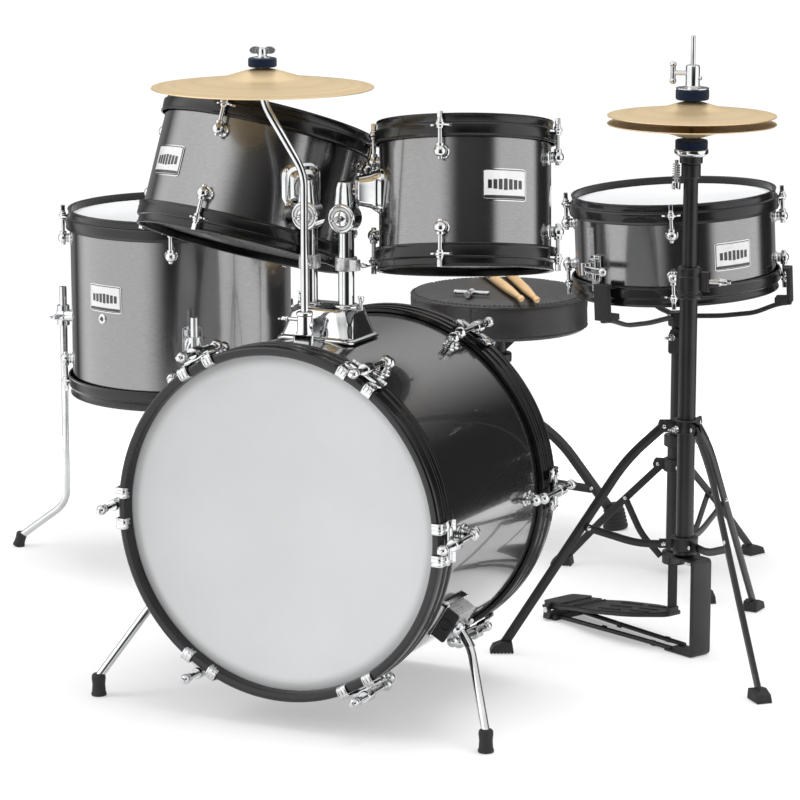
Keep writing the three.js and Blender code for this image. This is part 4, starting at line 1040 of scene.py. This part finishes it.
def snare():
    place, radius, rim = drum("snare", "snare_drum")
    out = radius + 3
    plate = [block(5, 20, 34, out, 0, -20, 2), block(10, 13, 26, out + 5, 0, -20, 3),
             block(8, 9, 14, out + 12, 0, -18, 2)]
    screws = [outward(rivet(2.8), out + 2.6, 0, z) for z in (-35, -5)]
    build("snare_strainer", "snare_drum", place, {"chrome": turned([*plate, *screws], STRAINER_AT)},
          nodes=("snare_shell",))
    butt = [block(5, 18, 26, out, 0, -38, 2), block(9, 12, 10, out + 5, 0, -38, 2)]
    build("snare_butt", "snare_drum", place, {"chrome": turned(butt, STRAINER_AT + 180)},
          nodes=("snare_shell",))
    strap_path = [(radius + 5, -30), (radius + 5.4, -48), (radius + 2, -rim + 1)]
    strip = moved(ribbon(strap_path, 15, 0.8, 4), spin(STRAINER_AT))
    tongue = moved(curved_plate(radius, 0, 10, 15, 46, 0.9, 1.0), spin(STRAINER_AT - 6))
    build("snare_strip", "snare_drum", place, {"strip": [strip, tongue]}, 0, nodes=("snare_shell",))
    root, end = (radius + LEVER.out, 0, LEVER.z), (radius + LEVER.out + 2, LEVER.reach, LEVER.z)
    arm = sweep(rounded([root, (radius + LEVER.out + 2.5, 20, LEVER.z), end], 12), rect(4.5, 9, 1.6, 3),
                side=AHEAD)
    lever = [moved(lathe([(0, -8), (4.6, -8), (4.6, 8), (0, 8)], 24), at(*root)), arm, ball(end, 6.3)]
    build("snare_strainer_lever", "snare_strainer_lever", place, {"chrome": turned(lever, STRAINER_AT)})
    below = -rim + RIM_ABOVE_HEAD - 4.4
    strands = []
    for i in range(12):
        y = -16.5 + 3 * i
        coil = [(x, y + 0.8 * math.cos(x * 1.9), below + 0.1 + 0.6 * math.sin(x * 1.9)) for x in
                (-102 + 1.1 * k for k in range(186))]
        strands.append(tube(coil, 0.5, 5))
    ends = [moved(prism(rect(9, 42, 2), -1.3, 1.3), at(side * 106, 0, below)) for side in (-1, 1)]
    build("snare_wires", "snare_drum", place, {"wire": turned([*strands, *ends], STRAINER_AT)}, 0)


# ---- throne
def cushion_shape(radius, low, high):
    """A crowned round cushion whose side pulls in a little at the middle."""
    profile = [(0, low), (radius - 7, low), (radius - 2, low + 2), (radius, low + 7),
               (radius - 1, (low + high) / 2), (radius, high - 7), (radius - 1.6, high - 2.4),
               (radius - 7, high - 0.4), (radius * 0.5, high + 0.4), (0, high + 0.6)]
    return lathe(profile, 96)


def inflated(item, voxel, cap, base=0.004, steps=20):
    """The item's own mesh, filled by a short cloth simulation that holds its lowest base of height; no point
    moves further than cap."""
    remesh = item.modifiers.new("remesh", "REMESH")
    remesh.mode, remesh.voxel_size = "VOXEL", voxel
    settle(item)
    rest = [v.co.copy() for v in item.data.vertices]
    low = min(p.z for p in rest)
    group = item.vertex_groups.new(name="base")
    group.add([i for i, p in enumerate(rest) if p.z < low + base], 1.0, "REPLACE")
    cloth = item.modifiers.new("cloth", "CLOTH")
    cloth.settings.use_pressure = True
    cloth.settings.uniform_pressure_force = 2.0
    cloth.settings.tension_stiffness, cloth.settings.bending_stiffness = 40, 20
    cloth.settings.effector_weights.gravity = 0.0
    cloth.settings.vertex_group_mass = "base"
    cloth.point_cache.frame_start, cloth.point_cache.frame_end = 1, steps
    for step in range(1, steps + 1):
        bpy.context.scene.frame_set(step)
    settle(item)
    for vertex, start in zip(item.data.vertices, rest):
        shift = vertex.co - start
        if shift.length > cap:
            vertex.co = start + shift.normalized() * cap
    bpy.context.scene.frame_set(1)
    smooth = item.modifiers.new("smooth", "SUBSURF")
    smooth.levels = smooth.render_levels = 1
    settle(item)
    item.data.shade_smooth()


def settle(item):
    """Bakes the item's modifiers into its mesh."""
    bpy.context.view_layer.update()
    shown = item.evaluated_get(bpy.context.evaluated_depsgraph_get())
    mesh = bpy.data.meshes.new_from_object(shown)
    item.modifiers.clear()
    item.data = mesh


def throne():
    low, high = (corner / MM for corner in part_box("throne_seat"))
    centre = (low + high) / 2
    here = at(centre.x, centre.y, low.z)
    radius, tall = (high.x - low.x) / 2, high.z - low.z
    seat = new_object("throne_cushion", cushion_shape(radius - 2, 3, tall - 2), here, "vinyl", 60)
    inflated(seat, voxel=0.004, cap=0.0018)
    lift = tall * MM - max(v.co.z for v in seat.data.vertices)
    for vertex in seat.data.vertices:
        vertex.co.z += lift * max(0.0, vertex.co.z / (tall * MM))
    seat.data.update()
    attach(seat, "throne_seat")
    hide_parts("throne_seat")
    seams(seat, here, radius, tall)
    throne_base(at(centre.x, centre.y), low.z)


def seams(seat, place, radius, tall):
    """Piping round the top and bottom edges, stitches beside it and one upright panel seam."""
    def on_cushion(x, y, z, lift):
        _, spot, normal, _ = seat.closest_point_on_mesh(Vector((x, y, z)) * MM)
        return (spot + normal * lift * MM) / MM

    edge = radius + 4
    top = [on_cushion(*polar(edge, a).xy, tall - 3, 0.2) for a in every(120)]
    bottom = [on_cushion(*polar(edge, a).xy, 6, 0.1) for a in every(120)]
    upright = [on_cushion(*polar(edge, -84).xy, z, 0.0) for z in range(8, int(tall) - 4, 3)]
    stitches = []
    for a in every(110):
        ends = [on_cushion(*polar(radius - 4, a + step).xy, tall + 3, 0.35) for step in (-0.9, 0.9)]
        stitches.append(tube(ends, 0.55, 6))
    shapes = [tube(top, 1.5, 10, closed=True), tube(bottom, 1.3, 8, closed=True), tube(upright, 1.0, 8),
              *stitches]
    build("throne_seams", "throne_seat", place, {"vinyl": shapes}, 0, nodes=("throne_seat",))


def throne_base(place, low):
    post, reach = THRONE.post, THRONE.reach
    flange = lathe([(0, -6), (40, -6), (45, -4.6), (45, 2.6), (44, 3.6), (0, 3.6)], 56, z=low)
    tube_shape = lathe([(0, 130), (post - 3, 130), (post - 3, low - 5), (0, low - 5)], 36)
    gussets = around(standing([(post - 4, low - 6), (34, low - 6), (post - 4, low - 30)], 1.6), every(4, 20))
    nut = moved(lathe([(0, -7), (17, -7), (18.4, -5), (18.4, 5), (17, 7), (0, 7)], 24), at(0, 0, low - 40))
    screws = around(moved(rivet(3), at(34, 0, low - 6) @ spin(180, "X")), every(4, 65))
    layers = {"steel": [flange, tube_shape, gussets, nut], "chrome": [screws]}
    build("throne_post", "throne_post", place, layers)
    leg = strap([(16, THRONE.collar_high), (97, 141), (reach - 12, 32)], 15, 5.6, 36)
    flute = strap([(30, 189), (97, 141), (reach - 22, 44)], 6, 7, 36)
    brace = strap([(16, THRONE.collar_low), (150, 62)], 12, 5.6, 4)
    profile = [(0, 0), (17, 0), (18, 1.4)]
    for i in range(5):
        profile += [(18 - 0.7 * i, 3 + 5.6 * i), (18.4 - 0.7 * i, 5 + 5.6 * i), (16.6 - 0.7 * i, 7 + 5.6 * i)]
    profile += [(14, 33), (12.6, 36), (0, 36)]
    foot = on_axis(lathe(profile, 36), (reach, 0, 0.4), Vector((-0.11, 0, 1)).normalized())
    steel = [ring(post - 2.6, post + 2, 60, 225, 36), collar(post - 2.4, 23, THRONE.collar_high, 11),
             collar(post - 2.4, 23, THRONE.collar_low, 11), collar(post - 2.4, 19, 219, 6),
             around(merge(leg, flute, brace), THRONE.legs),
             leg_cheeks(THRONE.legs, THRONE.collar_high, 28, 5.4)]
    chrome = [around(pin(29, THRONE.collar_high, 7), THRONE.legs), around(pin(147, 64, 4.6), THRONE.legs),
              on_axis(wing_screw(15, 1.1, 3), polar(17, -70, 219), polar(1, -70))]
    layers = {"steel": steel, "chrome": chrome, "rubber": [around(foot, THRONE.legs)]}
    build("throne_tripod", "kit_base", place, layers)


def loose_pieces():
    """A pair of sticks and a drum key on the cushion."""
    profile = [(0, 0), (1.8, 0.3), (3.4, 2), (4.4, 4.6), (4.7, 7.4), (4.3, 10), (3.4, 12.4), (3.1, 14),
               (3.5, 18), (4.6, 40), (5.8, 68), (6.5, 92), (6.5, 324), (6, 327.6), (4.6, 329.6), (0, 330)]
    for name in ("stick_a", "stick_b"):
        points = points_of(name)
        ends = sorted(points, key=lambda p: p.y)
        heading = middle(ends[-10:]) - ends[0]
        heading.z = 0
        tip = Vector((ends[0].x, ends[0].y, middle(points).z))
        turn = heading.to_track_quat("X", "Z").to_matrix().to_4x4()
        stick = moved(lathe(profile, 36), spin(90, "Y"))
        build(name, "throne_post", at(*tip) @ turn, {"maple": [stick]}, 0)
    key_low, key_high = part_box("drum_key")
    spot = (key_low + key_high) / 2 / MM
    place = at(spot.x, spot.y, key_low.z / MM) @ spin(100)
    grip = [tube(rounded([(1, -23, 4.4), (1, 0, 4.6), (1, 23, 4.4)], 6), 3.1, 16),
            ball((1, -23, 4.4), 3.5, 14), ball((1, 23, 4.4), 3.5, 14)]
    socket = moved(lathe([(0, 0), (4.2, 0), (5, 1), (5, 12), (4.2, 13.6), (4.2, 25), (5, 26), (5, 29),
                          (0, 29)], 24), at(-24, 0, 5) @ spin(90, "Y"))
    build("drum_key", "throne_post", place, {"chrome": [*grip, socket]}, 0)


def kit():
    centre = bass_drum()
    spur("spur_right", 1, centre)
    spur("spur_left", -1, centre)
    posts = [foot_of("tom_post_left"), foot_of("tom_post_right")]
    mount_base(posts, foot_of("crash_arm"), centre)
    for side, word in ((-1, "left"), (1, "right")):
        tom_post(f"tom_post_{word}", side, f"tom_{word}")
        place, radius, _ = drum_frame(f"tom_{word}")
        drum(f"tom_{word}", f"tom_{word}", tom_cup(f"tom_post_{word}", place, radius))
    crash()
    floor_tom()
    snare_stand()
    snare()
    hi_hat()
    throne()
    loose_pieces()
    return centre


# ---- studio
def room():
    world = bpy.data.worlds.new("studio")
    bpy.context.scene.world = world
    world.use_nodes = True
    tree = world.node_tree

    node = functools.partial(shader_node, tree)

    def towards(direction, start, end, high):
        """Rises to high where the view turns to direction."""
        turned = node("VectorMath", {0: sky, 1: direction}, operation="DOT_PRODUCT").outputs["Value"]
        settings = {"Value": turned, "From Min": start, "From Max": end, "To Min": 0.0, "To Max": high}
        return node("MapRange", settings, interpolation_type="SMOOTHSTEP").outputs["Result"]

    sky = node("TexCoord").outputs["Generated"]
    lights = [towards((-0.742, -0.670, 0), 0.42, 0.80, 1.6), towards((-0.454, 0.891, 0.1), 0.7, 0.82, 0.2),
              towards((0.988, 0.156, 0), 0.76, 0.88, 1.6), towards((0, 0, 1), 0.23, 0.8, 1.2)]
    glow = DIM
    for light in lights:
        glow = node("Math", {0: glow, 1: light}, operation="ADD").outputs[0]
    path = node("LightPath")
    soft, mirror, white = (node("Background", {"Strength": strength, "Color": (1, 1, 1, 1)}).outputs[0]
                           for strength in (SOFT, glow, WHITE))
    lit = node("MixShader", {"Fac": path.outputs["Is Glossy Ray"], 1: soft, 2: mirror}).outputs[0]
    seen = node("MixShader", {"Fac": path.outputs["Is Camera Ray"], 1: lit, 2: white}).outputs[0]
    tree.links.new(seen, tree.nodes["World Output"].inputs["Surface"])


def studio(centre):
    scene = bpy.context.scene
    scene.view_settings.view_transform = "Standard"
    focus = centre * MM
    floor = new_object("floor", prism([p.xy for p in circle(FLOOR_RADIUS, 96)], -2, -0.6), HOME, "head")
    # The floor's emission is painted light: it glows weakly out to 0.75 m from the middle, then rises to full
    # at its edge so that the edge meets the white background.
    glowing_paper = Look("glowing_paper", 0.0, {"Emission Color": (1, 1, 1, 1)})
    glowing_paper.color(glowing_paper.noise(3, 2), grey(0.6), grey(0.62)).rough(glowing_paper.noise(20, 2), 0.8, 0.9)
    reach = glowing_paper.node("VectorMath", {0: glowing_paper.coords((1, 1, 0))}, operation="LENGTH").outputs["Value"]
    glow = glowing_paper.remap(reach, 0.34, 1.1, 0.75, FLOOR_RADIUS * MM)
    glowing_paper.tree.links.new(glow, glowing_paper.shader.inputs["Emission Strength"])
    floor.data.materials[0] = glowing_paper.material
    room()

    def panel(name, place, size, power):
        data = bpy.data.lights.new(name, "AREA")
        data.shape, data.size, data.size_y, data.energy = "RECTANGLE", size[0], size[1], power
        lamp = bpy.data.objects.new(name, data)
        scene.collection.objects.link(lamp)
        lamp.location = focus + Vector(place)
        lamp.rotation_euler = (-Vector(place)).to_track_quat("-Z", "Y").to_euler()
        lamp.visible_glossy = False

    panel("key", (-2.6, -1.6, 1.5), (1.5, 2.4), 40)
    panel("top", (0.3, 0.3, 2.9), (2.4, 1.8), 84)
    panel("edge", (2.9, -0.2, 0.9), (0.35, 2.2), 15)
    panel("front", (1.1, -3.6, 2.4), (1.4, 0.8), 8)


def camera(centre):
    """A long lens where the photograph's view is; the place and the turn are counted from the bass drum."""
    data = bpy.data.cameras.new("camera")
    data.lens, data.sensor_width, data.clip_end = LENS, SENSOR, 60
    eye = bpy.data.objects.new("camera", data)
    bpy.context.scene.collection.objects.link(eye)
    eye.location = centre * MM + Vector(EYE)
    eye.rotation_euler = (math.pi / 2 - LOOK_DOWN, 0, LOOK_LEFT)
    bpy.context.scene.camera = eye


bass_centre = kit()
studio(bass_centre)
camera(bass_centre)
